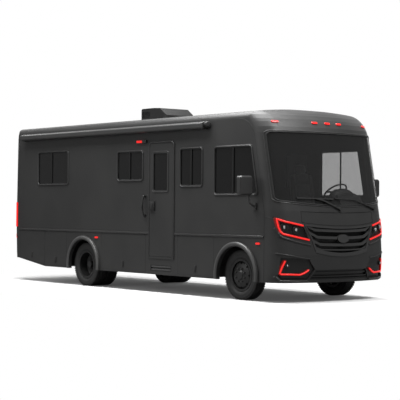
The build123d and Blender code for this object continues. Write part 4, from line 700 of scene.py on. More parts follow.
# %% A ring turned round an axle
def turned(bm, section, centre_x, centre_z, steps):
    """A ring turned round an axle along Y from a closed section of (Y, radius) points."""
    verts = [bm.verts.new((centre_x, y, centre_z + radius)) for y, radius in section]
    edges = [bm.edges.new(pair) for pair in zip(verts, verts[1:] + verts[:1])]
    bmesh.ops.spin(bm, geom=verts + edges, cent=(centre_x, 0, centre_z), axis=(0, 1, 0),
                   angle=math.tau, steps=steps, use_merge=True)


print("rings can be turned")

# %% Tyres
TYRE_W = 0.235
FRONT_AXLE_X = 3.066
REAR_AXLE_X = -1.652
AXLE_Z = 0.426
TYRE_SECTION = (
    # distance from the tyre's middle as a share of half its width, radius
    (0.70, 0.262), (0.80, 0.287), (0.90, 0.298), (0.965, 0.318), (0.985, 0.322), (1.0, 0.338),
    (1.0, 0.356), (0.975, 0.372), (0.985, 0.376), (0.965, 0.392), (0.94, 0.399), (0.90, 0.408),
    (0.80, 0.4245), (0.62, 0.4255), (0.60, 0.4165), (0.54, 0.4165), (0.52, 0.4258), (0.26, 0.426),
    (0.24, 0.416), (0.18, 0.416), (0.16, 0.426),
)
TYRE_STEPS = 96
SHOULDER_LUGS = 56
LUG_REACH = (0.70, 0.93)
LUG_R, LUG_LENGTH, LUG_DEPTH = 0.4165, 0.030, 0.017


def tyre(name, node_name, body, middles, axle_x):
    """One tyre or a pair, turned round the axle, that stands for a solid."""
    bm = bmesh.new()
    half = TYRE_W / 2
    for middle in middles:
        outer = [(middle + share * half, radius) for share, radius in TYRE_SECTION]
        inner = [(middle - share * half, radius) for share, radius in reversed(TYRE_SECTION)]
        turned(bm, outer + inner, axle_x, AXLE_Z, TYRE_STEPS)
        for side in (-1, 1):
            low, high = (middle + side * half * share for share in LUG_REACH)
            lug = Matrix.Translation((0, (low + high) / 2, LUG_R))
            lug = lug @ Matrix.Diagonal((LUG_LENGTH, abs(high - low), LUG_DEPTH, 1.0))
            for step in range(SHOULDER_LUGS):
                spin = Matrix.Rotation(math.tau * step / SHOULDER_LUGS, 4, "Y")
                place = Matrix.Translation((axle_x, 0, AXLE_Z)) @ spin @ lug
                bmesh.ops.create_cube(bm, size=1.0, matrix=place)
    piece = finished(name, bm, rubber, body, 30.0)
    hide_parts(node_name)


SIDES = (("left", 1), ("right", -1))
for side, _ in SIDES:
    front_low, front_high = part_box(f"front_tyre_{side}")
    tyre(f"road_tyre_front_{side}", f"front_tyre_{side}", f"front_wheel_{side}",
         [(front_low.y + front_high.y) / 2], FRONT_AXLE_X)
    rear_low, rear_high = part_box(f"rear_tyres_{side}")
    reach = TYRE_W / 2
    tyre(f"road_tyres_rear_{side}", f"rear_tyres_{side}", f"rear_wheels_{side}",
         [rear_low.y + reach, rear_high.y - reach], REAR_AXLE_X)

# %% [markdown]
# ## Wheel nuts
#
# Each wheel is held by a ring of nuts on studs. They are small and the same, so a table gives each wheel's
# ring, and one hexagon with bevelled rims is repeated round the hub. The face that they sit on is curved, and
# its depth is hard to guess, so a ray sent from outside finds the spot where it meets the wheel.

# %% Posts, and rays that land on the solids
BESIDE_Y = 3.0


def rounded(bm, edges, width, segments):
    """Rounds some edges."""
    bmesh.ops.bevel(bm, geom=list(edges), offset=width, offset_type="OFFSET", segments=segments,
                    profile=0.5, affect="EDGES", material=-1)


def post(bm, middle, turn_axis, radius, length, sides, bevel=0.0, segments=2):
    """A post about Z, given a quarter turn about X or Y if asked, with its rims rounded."""
    turn = Matrix.Rotation(math.pi / 2, 4, turn_axis) if turn_axis else Matrix.Identity(4)
    made = bmesh.ops.create_cone(bm, cap_ends=True, segments=sides, radius1=radius, radius2=radius,
                                 depth=length, matrix=Matrix.Translation(middle) @ turn)
    if bevel:
        along = {"X": 1, "Y": 0}[turn_axis]
        edges = {edge for vert in made["verts"] for edge in vert.link_edges}
        rims = [edge for edge in edges if abs(edge.verts[0].co[along] - edge.verts[1].co[along]) < 1e-6]
        rounded(bm, rims, bevel, segments)


def landing(names, start, way):
    """Where a ray from a point first meets one of these solids."""
    start, way = Vector(start), Vector(way)
    hits = []
    for name in names:
        solid = nodes[name]
        back = solid.matrix_world.inverted()
        found, spot, _, _ = solid.ray_cast(back @ start, (back.to_3x3() @ way).normalized())
        if found:
            hits.append(solid.matrix_world @ spot)
    return min(hits, key=lambda spot: (spot - start).length)


print("posts and rays ready")

# %% Wheel nuts
NUT_ROWS = (
    # wheel, axle X, ring radius, nut length
    ("front_wheel", FRONT_AXLE_X, 0.118, 0.020),
    ("rear_wheels", REAR_AXLE_X, 0.112, 0.022),
)
NUT_COUNT, NUT_R, STUD_R, NUT_BEVEL = 8, 0.018, 0.010, 0.002


def nuts(name, body, side, axle_x, ring, length):
    """A ring of hexagon nuts on studs, seated on the face of the wheel."""
    bm = bmesh.new()
    face = side * abs(landing((body,), (axle_x + ring, side * BESIDE_Y, AXLE_Z), (0, -side, 0)).y)
    for step in range(NUT_COUNT):
        turn = math.tau * (step + 0.5) / NUT_COUNT
        seat = Vector((axle_x + ring * math.cos(turn), face, AXLE_Z + ring * math.sin(turn)))
        for radius, reach, sides in ((NUT_R, length, 6), (STUD_R, length * 1.5, 12)):
            post(bm, seat + Vector((0, side * reach / 2, 0)), "X", radius, reach, sides, NUT_BEVEL)
    finished(name, bm, highlight_trim_paint, body, 30.0)


for row_name, *row in NUT_ROWS:
    for side_name, side in SIDES:
        nuts(f"nuts_{row_name}_{side_name}", f"{row_name}_{side_name}", side, *row)

# %% [markdown]
# ## Belt mouldings
#
# A half-round strip hides the joint between the walls and the lower skirts. It stops at the entry door's
# frame and ends in round noses. A long block with all its edges rounded gives both the strip and its noses.

# %% Blocks with rounded edges
def block(bm, low, high, bevel, segments=2):
    """A block between two corners, with its edges rounded."""
    low, high = Vector(low), Vector(high)
    place = Matrix.Translation((low + high) / 2) @ Matrix.Diagonal((*(high - low), 1.0))
    made = bmesh.ops.create_cube(bm, size=1.0, matrix=place)
    rounded(bm, {edge for vert in made["verts"] for edge in vert.link_edges}, bevel, segments)


print("blocks ready")

# %% Belt mouldings
WALL_Y = 1.285
REAR_SEAM_X, FRONT_SEAM_X = -4.150, 3.775
BELT_LOW_Z, BELT_HIGH_Z = 1.0725, 1.1175
BELT_PROUD, BELT_SINK, BELT_NOSE = 0.013, 0.002, 0.012
BELT_RUNS = (
    # side, rear X, front X
    (-1, -4.148, 0.526), (-1, 1.321, 3.765), (1, -4.148, 3.765),
)
bm = bmesh.new()
for side, rear_x, front_x in BELT_RUNS:
    outer, inner = side * (WALL_Y + BELT_PROUD), side * (WALL_Y - BELT_SINK)
    low_y, high_y = sorted((outer, inner))
    block(bm, (rear_x, low_y, BELT_LOW_Z), (front_x, high_y, BELT_HIGH_Z), BELT_NOSE, 4)
finished("belt_mouldings", bm, highlight_trim_paint, smooth=50.0)

# %% [markdown]
# ## Beads
#
# Seals, seams and rolled edges are all round beads that follow a line. A curve with a round bevel could make
# them, but a bmesh keeps them in one mesh: a small circle stands across the line at each point, and each pair
# of circles is bridged. What both sides of the coach share is mirrored.

# %% Beads
def bead(bm, points, radius, sides=8, closed=True):
    """A round bead that follows a line of points; an open one has capped ends."""
    last = len(points) - 1
    loops = []
    for spot, point in enumerate(points):
        before = points[spot - 1] if spot or closed else point
        after = points[(spot + 1) % (last + 1)] if spot < last or closed else point
        turn = (after - before).to_track_quat("Z", "X").to_matrix().to_4x4()
        capped = not closed and spot in (0, last)
        ring = bmesh.ops.create_circle(bm, segments=sides, radius=radius, cap_ends=capped,
                                       matrix=Matrix.Translation(point) @ turn)
        loops.append(list({edge for vert in ring["verts"] for edge in vert.link_edges}))
    for first, second in zip(loops, loops[1:] + loops[:1] if closed else loops[1:]):
        bmesh.ops.bridge_loops(bm, edges=first + second)


def mirrored(bm):
    """Adds the same faces on the other side of the coach."""
    bmesh.ops.mirror(bm, geom=bm.verts[:] + bm.edges[:] + bm.faces[:], axis="Y", merge_dist=0.0)


def beading(name, beads, material, body=BODY, both_sides=True):
    """A piece made of beads: each has its points, its radius, its sides and whether it closes."""
    bm = bmesh.new()
    for points, *form in beads:
        bead(bm, points, *form)
    if both_sides:
        mirrored(bm)
    return finished(name, bm, material, body, 60.0)


print("beads ready")

# %% Outlines with rounded corners
def rounded_loop(corners, radius, steps=5):
    """The flat outline through some corners, as points, with every sharp corner rounded."""
    points = []
    count = len(corners)
    for spot, corner in enumerate(corners):
        here = Vector(corner)
        back, on = Vector(corners[spot - 1]) - here, Vector(corners[(spot + 1) % count]) - here
        half_angle = back.angle(on) / 2
        if half_angle > math.radians(80):
            points.append(here)
            continue
        cut = radius / math.tan(half_angle)
        start, end = here + back.normalized() * cut, here + on.normalized() * cut
        centre = here + (back.normalized() + on.normalized()).normalized() * (radius / math.sin(half_angle))
        for step in range(steps + 1):
            between = start.lerp(end, step / steps)
            points.append(centre + (between - centre).normalized() * radius)
    return points


print("outlines ready")

# %% [markdown]
# ## Window seals and rolled frames
#
# Each pane sits in a black rubber bead inside its raised frame, and a black bead runs round the outside of
# the frame: sealant, and also painted shade along the frame's foot. The frame itself is pressed with a round
# edge, which catches the light from above and is most of what shows of it. All three are beads, and their
# outlines come from one table.

# %% Window seals and rolled frames
WINDOWS = (
    # rear edge, front edge at the head, front edge at the sill, sill, head
    (-3.400, -2.210, -2.210, 2.010, 2.720),
    (-0.510, 0.353, 0.353, 2.060, 2.648),
    (1.463, 2.138, 2.138, 1.937, 2.653),
    (2.440, 3.458, 3.630, 1.785, 2.650),
)
PANE_SEAL = (0.034, 0.030, 1.2865)
# Sealant and painted shade: a black bead along the foot of each frame.
SEALANT_AND_SHADE = (-0.002, 0.064, 1.2845)
FRAME_ROLL = (0.015, 0.062, 1.290)
PANE_SEAL_R, SEALANT_AND_SHADE_R, FRAME_ROLL_R = 0.007, 0.0055, 0.014


def window_line(row, inset, corner, y):
    """The outline of a side window, set in by a width, at a distance from the middle."""
    rear, head_x, sill_x, sill, head = row
    slant = (sill_x - head_x) / (head - sill)
    side = inset * math.hypot(1, slant)
    return rounded_loop([
        (rear + inset, -y, sill + inset), (sill_x - side - slant * inset, -y, sill + inset),
        (head_x - side + slant * inset, -y, head - inset), (rear + inset, -y, head - inset),
    ], corner)


seals = [(window_line(row, *PANE_SEAL), PANE_SEAL_R) for row in WINDOWS]
seals += [(window_line(row, *SEALANT_AND_SHADE), SEALANT_AND_SHADE_R) for row in WINDOWS]
beading("window_seals_and_shade", seals, seal_rubber)
rolls = [(window_line(row, *FRAME_ROLL), FRAME_ROLL_R, 10) for row in WINDOWS]
beading("window_rolls", rolls, highlight_trim_paint)

# %% [markdown]
# ## Windshield seal and rim
#
# A thick black rubber seal holds the windshield, and the cap is rolled outward round it, so a thin rim
# catches the light there. Both lines are drawn flat and laid on the front with rays, so they follow the
# bowed glass.

# %% Lines laid on the front
AHEAD_X = 6.0
FRONT_SKIN = ("front_cap", "windshield")


def on_front(line, names=FRONT_SKIN, sink=0.0):
    """A line of (Y, Z) points laid on the coach's front, or a little below its surface."""
    return [landing(names, (AHEAD_X, y, z), (-1, 0, 0)) - Vector((sink, 0, 0)) for y, z in line]


print("lines can be laid on the front")

# %% Windshield seal and rim
GLASS_CORNER = (1.214, 1.716)
GLASS_MIDDLE_Z, GLASS_TOP_Z = 1.632, 2.852
GLASS_CORNER_R = 0.07
UPRIGHT_FROM = 0.4
SCREEN_SEAL_OUT, SCREEN_SEAL_R = 0.004, 0.011
SCREEN_RIM_OUT, SCREEN_RIM_R = 0.026, 0.010


def windshield_line(out, steps=24):
    """The windshield's outline seen from the front, with a sagging lower edge, as (Y, Z) points."""
    half, low, top = GLASS_CORNER[0] + out, GLASS_CORNER[1] - out, GLASS_TOP_Z + out
    sag = GLASS_CORNER[1] - GLASS_MIDDLE_Z
    shares = [2 * step / steps - 1 for step in range(steps + 1)]
    corners = [(0, half * share, low - sag * (1 - share ** 2)) for share in shares]
    corners += [(0, half, low + UPRIGHT_FROM), (0, half, top)]
    corners += [(0, -half * share, top) for share in shares[1:-1]]
    corners += [(0, -half, top), (0, -half, low + UPRIGHT_FROM)]
    return [point.yz for point in rounded_loop(corners, GLASS_CORNER_R)]


seal = on_front(windshield_line(SCREEN_SEAL_OUT))
beading("windshield_seal", [(seal, SCREEN_SEAL_R)], seal_rubber, both_sides=False)
rim = on_front(windshield_line(SCREEN_RIM_OUT))
beading("windshield_rim", [(rim, SCREEN_RIM_R)], highlight_trim_paint, both_sides=False)

# %% [markdown]
# ## Seams of the front and rear caps
#
# The moulded front cap meets the walls at a filled joint that runs up behind the front corner and sweeps back
# to the roof. A second one runs level from the headlamp to it, and the rear cap has an upright one.

# %% Seams
SEAM_R = 0.005
SEAM_SINK = 0.002
SEAM_LINE = (
    # X, Z from the bottom up to the roof
    (FRONT_SEAM_X, 0.345), (FRONT_SEAM_X, 0.8), (FRONT_SEAM_X, 1.2), (FRONT_SEAM_X, 1.52), (3.712, 1.8375),
    (3.6475, 2.155), (3.584, 2.4725), (3.520, 2.79), (3.481, 2.889), (3.428, 2.976), (3.345, 3.040),
    (3.238, 3.082), (3.125, 3.099),
)
REAR_SEAM_LINE = ((REAR_SEAM_X, 1.13), (REAR_SEAM_X, 3.09))
CHEEK_SEAM_Z = (1.402, 1.432)
CHEEK_SEAM_Y, CHEEK_END_X, CHEEK_STEPS = 1.243, 3.78, 4


def on_side(name, x, z):
    """The point of one solid on the coach's right side at a length and a height."""
    return landing((name,), (x, -BESIDE_Y, z), (0, 1, 0))


seams = [([Vector((x, SEAM_SINK - WALL_Y, z)) for x, z in line], SEAM_R, 8, False)
         for line in (SEAM_LINE, REAR_SEAM_LINE)]
cheek = on_front([(-CHEEK_SEAM_Y, CHEEK_SEAM_Z[0])], ("front_cap", "led_strips", "headlamp_lenses"))
start_x = cheek[0].x
for step in range(1, CHEEK_STEPS + 1):
    share = step / CHEEK_STEPS
    z = CHEEK_SEAM_Z[0] + (CHEEK_SEAM_Z[1] - CHEEK_SEAM_Z[0]) * share
    cheek.append(on_side("front_cap", start_x + (CHEEK_END_X - start_x) * share, z))
beading("cap_seams", seams + [(cheek, SEAM_R * 0.8, 8, False)], seal_rubber)

# %% [markdown]
# ## Rolled edges of the entry door and the wheel arches
#
# The door's frame, the frame of its pane and the wheel flares have the same pressed round edge as the
# windows. The bead along the door's frame is open at its foot, and each flare has the thickest one.

# %% Rolled edges
DOOR_ROLL = (0.549, 1.298, 0.640, 2.775)
DOOR_ROLL_Y, DOOR_ROLL_CORNER, DOOR_ROLL_R = 1.292, 0.085, 0.014
WAIST_Z = 1.0
DOOR_PANE = (0.666, 1.141, 1.860, 2.600)
PANE_ROLL_Y, PANE_ROLL_CORNER, PANE_ROLL_R = 1.299, 0.04, 0.011
FLARE_RING, FLARE_ROLL_R, FLARE_Y, FLARE_END_Z = 0.537, 0.040, 1.300, 0.342
FLARE_STEPS = 40


def upright_corners(edges, y):
    """The four corners of an upright panel on the right side, from its rear, front, low and high edges."""
    rear_x, front_x, low_z, high_z = edges
    corners = ((rear_x, low_z), (front_x, low_z), (front_x, high_z), (rear_x, high_z))
    return [Vector((x, -y, z)) for x, z in corners]


corners = upright_corners(DOOR_ROLL, DOOR_ROLL_Y)
head = [point for point in rounded_loop(corners[1:] + corners[:1], DOOR_ROLL_CORNER, 7) if point.z > WAIST_Z]
arch = [corners[1]] + head + [corners[0]]
beading("door_frame_roll", [(arch, DOOR_ROLL_R, 10, False)], highlight_trim_paint, both_sides=False)
pane = rounded_loop(upright_corners(DOOR_PANE, PANE_ROLL_Y), PANE_ROLL_CORNER)
beading("door_pane_roll", [(pane, PANE_ROLL_R, 10)], highlight_trim_paint, "entry_door", False)

flares = []
start = math.asin((FLARE_END_Z - AXLE_Z) / FLARE_RING)
turns = [start + (math.pi - 2 * start) * step / FLARE_STEPS for step in range(FLARE_STEPS + 1)]
for axle_x in (FRONT_AXLE_X, REAR_AXLE_X):
    ring = [Vector((axle_x + FLARE_RING * math.cos(turn), -FLARE_Y, AXLE_Z + FLARE_RING * math.sin(turn)))
            for turn in turns]
    flares.append((ring, FLARE_ROLL_R, 12, False))
beading("flare_rolls", flares, highlight_flare_paint)

# %% [markdown]
# ## Bright cores of the light strips
#
# The red strips on the lamps are light guides: a bright round core lies along the middle of each red band. It
# is laid on the front like the windshield's seal.

# %% Light cores
LIGHT_GROUND = ("led_strips", "headlamp_lenses", "front_cap", "front_lamps", "grille")
CORE_R = 0.0135
LIGHT_LINES = (
    # Y, Z along each strip on the right side
    ((-0.817, 1.290), (-0.944, 1.318), (-1.122, 1.357), (-1.226, 1.402), (-1.220, 1.345), (-1.212, 1.259),
     (-1.194, 1.193), (-1.159, 1.152), (-1.060, 1.126), (-0.886, 1.087), (-0.715, 1.050)),
    ((-1.132, 0.703), (-1.169, 0.600), (-1.192, 0.500), (-1.172, 0.485), (-1.055, 0.483), (-0.877, 0.475),
     (-0.801, 0.501), (-0.719, 0.550)),
)


def divided(line, steps=0, pitch=0.03):
    """Points along a flat line: a number of steps in each stretch, or as many as its length asks."""
    points = []
    for first, second in zip(line, line[1:]):
        count = steps or max(1, round(math.dist(first, second) / pitch))
        points += [Vector(first).lerp(Vector(second), step / count) for step in range(count)]
    return points + [Vector(line[-1])]


cores = [(on_front(divided(line), LIGHT_GROUND), CORE_R, 10, False) for line in LIGHT_LINES]
beading("light_cores", cores, red_strip)

# %% [markdown]
# ## Rolled ridges on the front and brake drums
#
# Three creases shape the lower front: a brow under each headlamp, one over each fog lamp and a chin. Their
# tops are rolled, so a thin bead along each catches the light. Behind each front wheel's holes sits the brake
# drum.

# %% Front ridges and brake drums
RIDGES = (
    # radius, then Y and Z along the right half
    (0.013, (-1.236, 1.236), (-1.192, 1.116), (-1.140, 1.082), (-0.960, 1.024), (-0.700, 0.968)),
    (0.010, (-1.240, 0.828), (-1.069, 0.796), (-0.804, 0.748), (-0.700, 0.742)),
    (0.016, (-1.234, 0.436), (-1.186, 0.374), (-0.946, 0.366), (-0.730, 0.366)),
)
RIDGE_SINK, RIDGE_STEPS = 0.007, 5
ridges = [(on_front(divided(line, RIDGE_STEPS), LIGHT_GROUND, RIDGE_SINK), radius, 10, False)
          for radius, *line in RIDGES]
beading("front_rolls", ridges, highlight_trim_paint)

DRUM_R, DRUM_BORE_R = 0.190, 0.09
DRUM_Y = (1.030, 1.100)
for side_name, side in SIDES:
    bm = bmesh.new()
    inner, outer = side * DRUM_Y[0], side * DRUM_Y[1]
    turned(bm, [(inner, DRUM_BORE_R), (inner, DRUM_R), (outer, DRUM_R), (outer, DRUM_BORE_R)],
           FRONT_AXLE_X, AXLE_Z, 48)
    finished(f"brake_drum_{side_name}", bm, spring_steel, f"front_wheel_{side_name}")

# %% [markdown]
# ## Seals of the bay doors
#
# A black rubber lip closes the gap round each bay door on three sides, and its black also paints the shade
# in the gap; the hinge is on the fourth.

# %% Bay seals
BAY_LINES = (
    # rear X, front X, lower Z at the rear, lower Z at the front
    (-4.115, -3.121, 0.515, 0.379), (-3.095, -2.280, 0.376, 0.375), (-1.028, 0.437, 0.375, 0.375),
    (1.416, 2.450, 0.375, 0.375),
)
BAY_SEAL_R, BAY_SEAL_Y, BAY_SEAL_TOP = 0.0045, 1.2825, 1.060
# Seal and painted shade: a black bead along each bay door's gap.
lips = []
for rear_x, front_x, rear_z, front_z in BAY_LINES:
    corners = [(rear_x, BAY_SEAL_TOP), (rear_x, rear_z), (front_x, front_z), (front_x, BAY_SEAL_TOP)]
    lips.append(([Vector((x, -BAY_SEAL_Y, z)) for x, z in corners], BAY_SEAL_R, 8, False))
beading("bay_seals_and_gap_shade", lips, seal_rubber)

# %% [markdown]
# ## Seal of the hood lid
#
# The hood lid lies flush in the cap above the grille. The rubber in its gap draws a dark line along its top
# and its two sides: a seal, and painted shade in the gap.

# %% Hood seal
HOOD_HALF, HOOD_SIDE_Z, HOOD_TOP_Z, HOOD_MIDDLE_Z = 0.839, 1.345, 1.529, 1.512
HOOD_STEPS, HOOD_SEAL_R = 16, 0.0045
line = [(-HOOD_HALF, HOOD_SIDE_Z)]
for step in range(HOOD_STEPS + 1):
    share = 2 * step / HOOD_STEPS - 1
    line.append((HOOD_HALF * share, HOOD_MIDDLE_Z + (HOOD_TOP_Z - HOOD_MIDDLE_Z) * share * share))
line.append((HOOD_HALF, HOOD_SIDE_Z))
gap = on_front(line, ("front_cap", "hood_lid", "radiator", "engine_block"))
# Seal and painted shade: a black bead in the hood lid's gap.
beading("hood_seal_and_gap_shade", [(gap, HOOD_SEAL_R, 8, False)], seal_rubber, both_sides=False)

# %% [markdown]
# ## Bay door latches
#
# Every storage bay is closed by a paddle latch: a black dish with a lever across it. It rides on its door.

# %% Latches
BAY_LATCHES = (
    # bay number, middle X, latch's lower Z
    (1, -3.618, 0.4996), (2, -2.6875, 0.428), (3, -0.2955, 0.428), (4, 1.933, 0.428),
)
LATCH_W, LATCH_H = 0.060, 0.125
LATCH_FACE_Y, LATCH_SINK, LATCH_EDGE_R = 1.293, 0.002, 0.003
LATCH_STEPS = (
    # inset and reach, of the dish and then of the lever
    (0.005, 0.0035), (0.016, 0.009),
)
for side_name, side in SIDES:
    for number, middle_x, latch_z in BAY_LATCHES:
        bm = bmesh.new()
        for inset, reach in LATCH_STEPS:
            half, low_z, high_z = LATCH_W / 2 - inset, latch_z + inset, latch_z + LATCH_H - inset
            low_y, high_y = sorted((side * (LATCH_FACE_Y - LATCH_SINK), side * (LATCH_FACE_Y + reach)))
            block(bm, (middle_x - half, low_y, low_z), (middle_x + half, high_y, high_z), LATCH_EDGE_R)
        finished(f"latch_{side_name}_{number}", bm, black_plastic, f"bay_door_{side_name}_{number}")

# %% [markdown]
# ## Entry door seal
#
# A rubber seal fills the gap round the entry door, and its black also paints the shade in the gap. It is one
# closed bead with rounded corners.

# %% Door seal
DOOR_GAP = (0.571, 1.276, 0.671, 2.753)
DOOR_SEAL_Y, DOOR_SEAL_R = 1.292, 0.0026
DOOR_CORNER = 0.07
line = rounded_loop(upright_corners(DOOR_GAP, DOOR_SEAL_Y), DOOR_CORNER)
# Seal and painted shade: a black bead round the entry door.
beading("door_seal_and_gap_shade", [(line, DOOR_SEAL_R, 6)], seal_rubber, both_sides=False)

# %% [markdown]
# ## Door handle and step edges
#
# The entry door has a black flush handle in a dish, and the two boards of the folded step below it have
# their front edges painted light grey: a painted highlight.

# %% Door handle and step edges
HANDLE_SPOT = (0.668, 1.60)
HANDLE_BLOCKS = (
    # rear X, front X, low Z, high Z, how far it stands out and sinks in, edge's radius, its segments
    (0.604, 0.733, 1.508, 1.692, 0.003, 0.002, 0.002, 2),
    (0.640, 0.697, 1.535, 1.660, 0.012, 0.0, 0.004, 3),
)
bm = bmesh.new()
face_y = on_side("entry_door", *HANDLE_SPOT).y
for rear_x, front_x, low_z, high_z, proud, sink, edge, segments in HANDLE_BLOCKS:
    block(bm, (rear_x, face_y - proud, low_z), (front_x, face_y + sink, high_z), edge, segments)
finished("door_paddle", bm, seal_rubber, "entry_door")

STEP_BOARDS = (0.428, 0.484)
STEP_BOARD_X, STEP_BOARD_HALF = (0.625, 1.206), 0.01428
bm = bmesh.new()
for middle_z in STEP_BOARDS:
    face_y = on_side("entry_steps", sum(STEP_BOARD_X) / 2, middle_z).y
    block(bm, (STEP_BOARD_X[0], face_y - 0.004, middle_z - STEP_BOARD_HALF),
          (STEP_BOARD_X[1], face_y + 0.002, middle_z + STEP_BOARD_HALF), 0.003)
finished("step_edge_highlights", bm, highlight_step_paint)

# %% [markdown]
# ## Awning roller end
#
# The awning's cloth is wound on a roller in its case. The roller's black end sticks out ahead of the case: a
# narrow collar and a wider cap, two round posts with rounded rims.

# %% Awning end
AWNING_Y, AWNING_Z = 1.345, 3.036
AWNING_POSTS = (
    # rear X, front X, radius
    (2.190, 2.2892, 0.046), (2.2828, 2.350, 0.052),
)
AWNING_RIM_R = 0.012
bm = bmesh.new()
for rear_x, front_x, radius in AWNING_POSTS:
    middle = ((rear_x + front_x) / 2, -AWNING_Y, AWNING_Z)
    post(bm, middle, "Y", radius, front_x - rear_x, 40, AWNING_RIM_R, 4)
finished("awning_end", bm, seal_rubber)

# %% [markdown]
# ## Mirror glass
#
# Each mirror housing holds two silvered panes that face back: a tall flat one above a small flat one.

# %% Mirror glass
MIRROR_Y = (1.410, 1.635)
MIRROR_BEHIND_X = 2.9
MIRROR_PANES = (
    # low Z, high Z
    (1.905, 2.090), (1.812, 1.892),
)
bm = bmesh.new()
for low_z, high_z in MIRROR_PANES:
    start = (MIRROR_BEHIND_X, -sum(MIRROR_Y) / 2, (low_z + high_z) / 2)
    back_x = landing(("mirrors",), start, (1, 0, 0)).x
    block(bm, (back_x - 0.004, -MIRROR_Y[1], low_z), (back_x + 0.002, -MIRROR_Y[0], high_z), 0.0018)
mirrored(bm)
finished("mirror_panes", bm, silvered)

# %% [markdown]
# ## Lenses in the lamps
#
# Behind each headlamp's clear cover two projector lenses bulge from the black housing, and one small lens
# sits in each fog lamp. A flattened sphere makes each of them.

# %% Projector lenses
LENS_FLATNESS, LENS_SHARE = 0.16, 0.62
bm = bmesh.new()
for eye_y, eye_z, radius in LAMP_EYES:
    face = on_front([(-eye_y, eye_z)], ("front_lamps",))[0]
    place = Matrix.Translation(face) @ Matrix.Diagonal((LENS_FLATNESS, 1.0, 1.0, 1.0))
    bmesh.ops.create_uvsphere(bm, u_segments=32, v_segments=16, radius=radius * LENS_SHARE, matrix=place)
mirrored(bm)
finished("projector_lenses", bm, lamp_lens, smooth=60.0)

# %% [markdown]
# ## Grille backing
#
# Behind the grille's bars stands a black panel with painted slots, bowed like the front, which keeps the
# radiator out of sight: a dark sheet that paints the shade behind the bars. A grid is laid over the opening,
# and each point takes its X from the bow's radius.

# %% Grille backing
FRONT_X, BOW_R = 4.36, 3.4
BACKING_HALF, BACKING_LOW_Z, BACKING_HIGH_Z = 0.66, 0.80, 1.27
BACKING_DEPTH, BACKING_LEAN, BACKING_T = 0.105, 0.065, 0.003
bm = bmesh.new()
middle_z = (BACKING_LOW_Z + BACKING_HIGH_Z) / 2
place = Matrix.Translation((0, 0, middle_z)) @ Matrix.Rotation(math.pi / 2, 4, "Y")
made = bmesh.ops.create_grid(bm, x_segments=8, y_segments=24, size=0.5, matrix=place)
for vert in made["verts"]:
    vert.co.z = middle_z + (vert.co.z - middle_z) * (BACKING_HIGH_Z - BACKING_LOW_Z)
    vert.co.y *= BACKING_HALF * 2
    lean = (vert.co.z - BACKING_LOW_Z) * BACKING_LEAN
    vert.co.x = FRONT_X - lean - vert.co.y ** 2 / (2 * BOW_R) - BACKING_DEPTH
bmesh.ops.solidify(bm, geom=bm.faces[:], thickness=BACKING_T)
# Painted shade: a dark sheet behind the grille's bars.
finished("grille_backing", bm, shaded_grille_mesh)

# %% [markdown]
# ## Small lamps, number plate and reflectors
#
# The porch lamp by the door is half hidden by a black housing. At the rear a red reflector sits low on each
# corner, and a blank plate lies in its recess.

# %% Small lamps and plate
PORCH_HOUSING = ((0.338, -1.322, 2.772), (0.462, -1.28, 2.830))
bm = bmesh.new()
block(bm, *PORCH_HOUSING, 0.008, 3)
finished("porch_lamp_housing", bm, black_plastic)

REFLECTOR_PLACE = (-4.300, 0.946)
REFLECTOR_HALF = Vector((0.020, 0.0, 0.045))
bm = bmesh.new()
spot = on_side("rear_cap", *REFLECTOR_PLACE)
low, high = spot - REFLECTOR_HALF, spot + REFLECTOR_HALF
block(bm, low - Vector((0, 0.006, 0)), high + Vector((0, 0.01, 0)), 0.004, 3)
mirrored(bm)
finished("rear_reflectors", bm, red_lamp)

PLATE_Z = 0.770
PLATE_HALF = Vector((0.0, 0.155, 0.0775))
spot = landing(("rear_cap",), (-AHEAD_X, 0.0, PLATE_Z), (1, 0, 0))
bm = bmesh.new()
low, high = spot - PLATE_HALF, spot + PLATE_HALF
block(bm, low - Vector((0.004, 0, 0)), high + Vector((0.001, 0, 0)), 0.002)
finished("blank_plate", bm, bare_steel)

# %% [markdown]
# ## Hood over the dials
#
# The dials sit under a smooth swollen hood on the dashboard, ahead of the steering wheel. Half a flattened
# sphere makes it.

# %% Dial hood
DIAL_HOOD_PLACE = (3.79, 0.52, 1.775)
DIAL_HOOD_RADII = (0.120, 0.270, 0.155)
DIAL_HOOD_LOW_Z = 1.745
bm = bmesh.new()
place = Matrix.Translation(DIAL_HOOD_PLACE) @ Matrix.Diagonal((*DIAL_HOOD_RADII, 1.0))
bmesh.ops.create_uvsphere(bm, u_segments=48, v_segments=24, radius=1.0, matrix=place)
everything = bm.verts[:] + bm.edges[:] + bm.faces[:]
cut = bmesh.ops.bisect_plane(bm, geom=everything, plane_co=(0, 0, DIAL_HOOD_LOW_Z), plane_no=(0, 0, -1),
                             clear_outer=True)
bmesh.ops.holes_fill(bm, edges=[edge for edge in cut["geom_cut"] if isinstance(edge, bmesh.types.BMEdge)])
finished("dial_hood", bm, dash_plastic, smooth=60.0)

# %% [markdown]
# ## Seats
#
# Two cab seats stand on boxes. Each is made of separate padded forms: a cushion and a back, both with side
# rolls, and a head rest on two stalks. A form starts as a block, is cut finely, swells in its middle, and a
# subdivision surface rounds it. The cloth finish shows the weave.

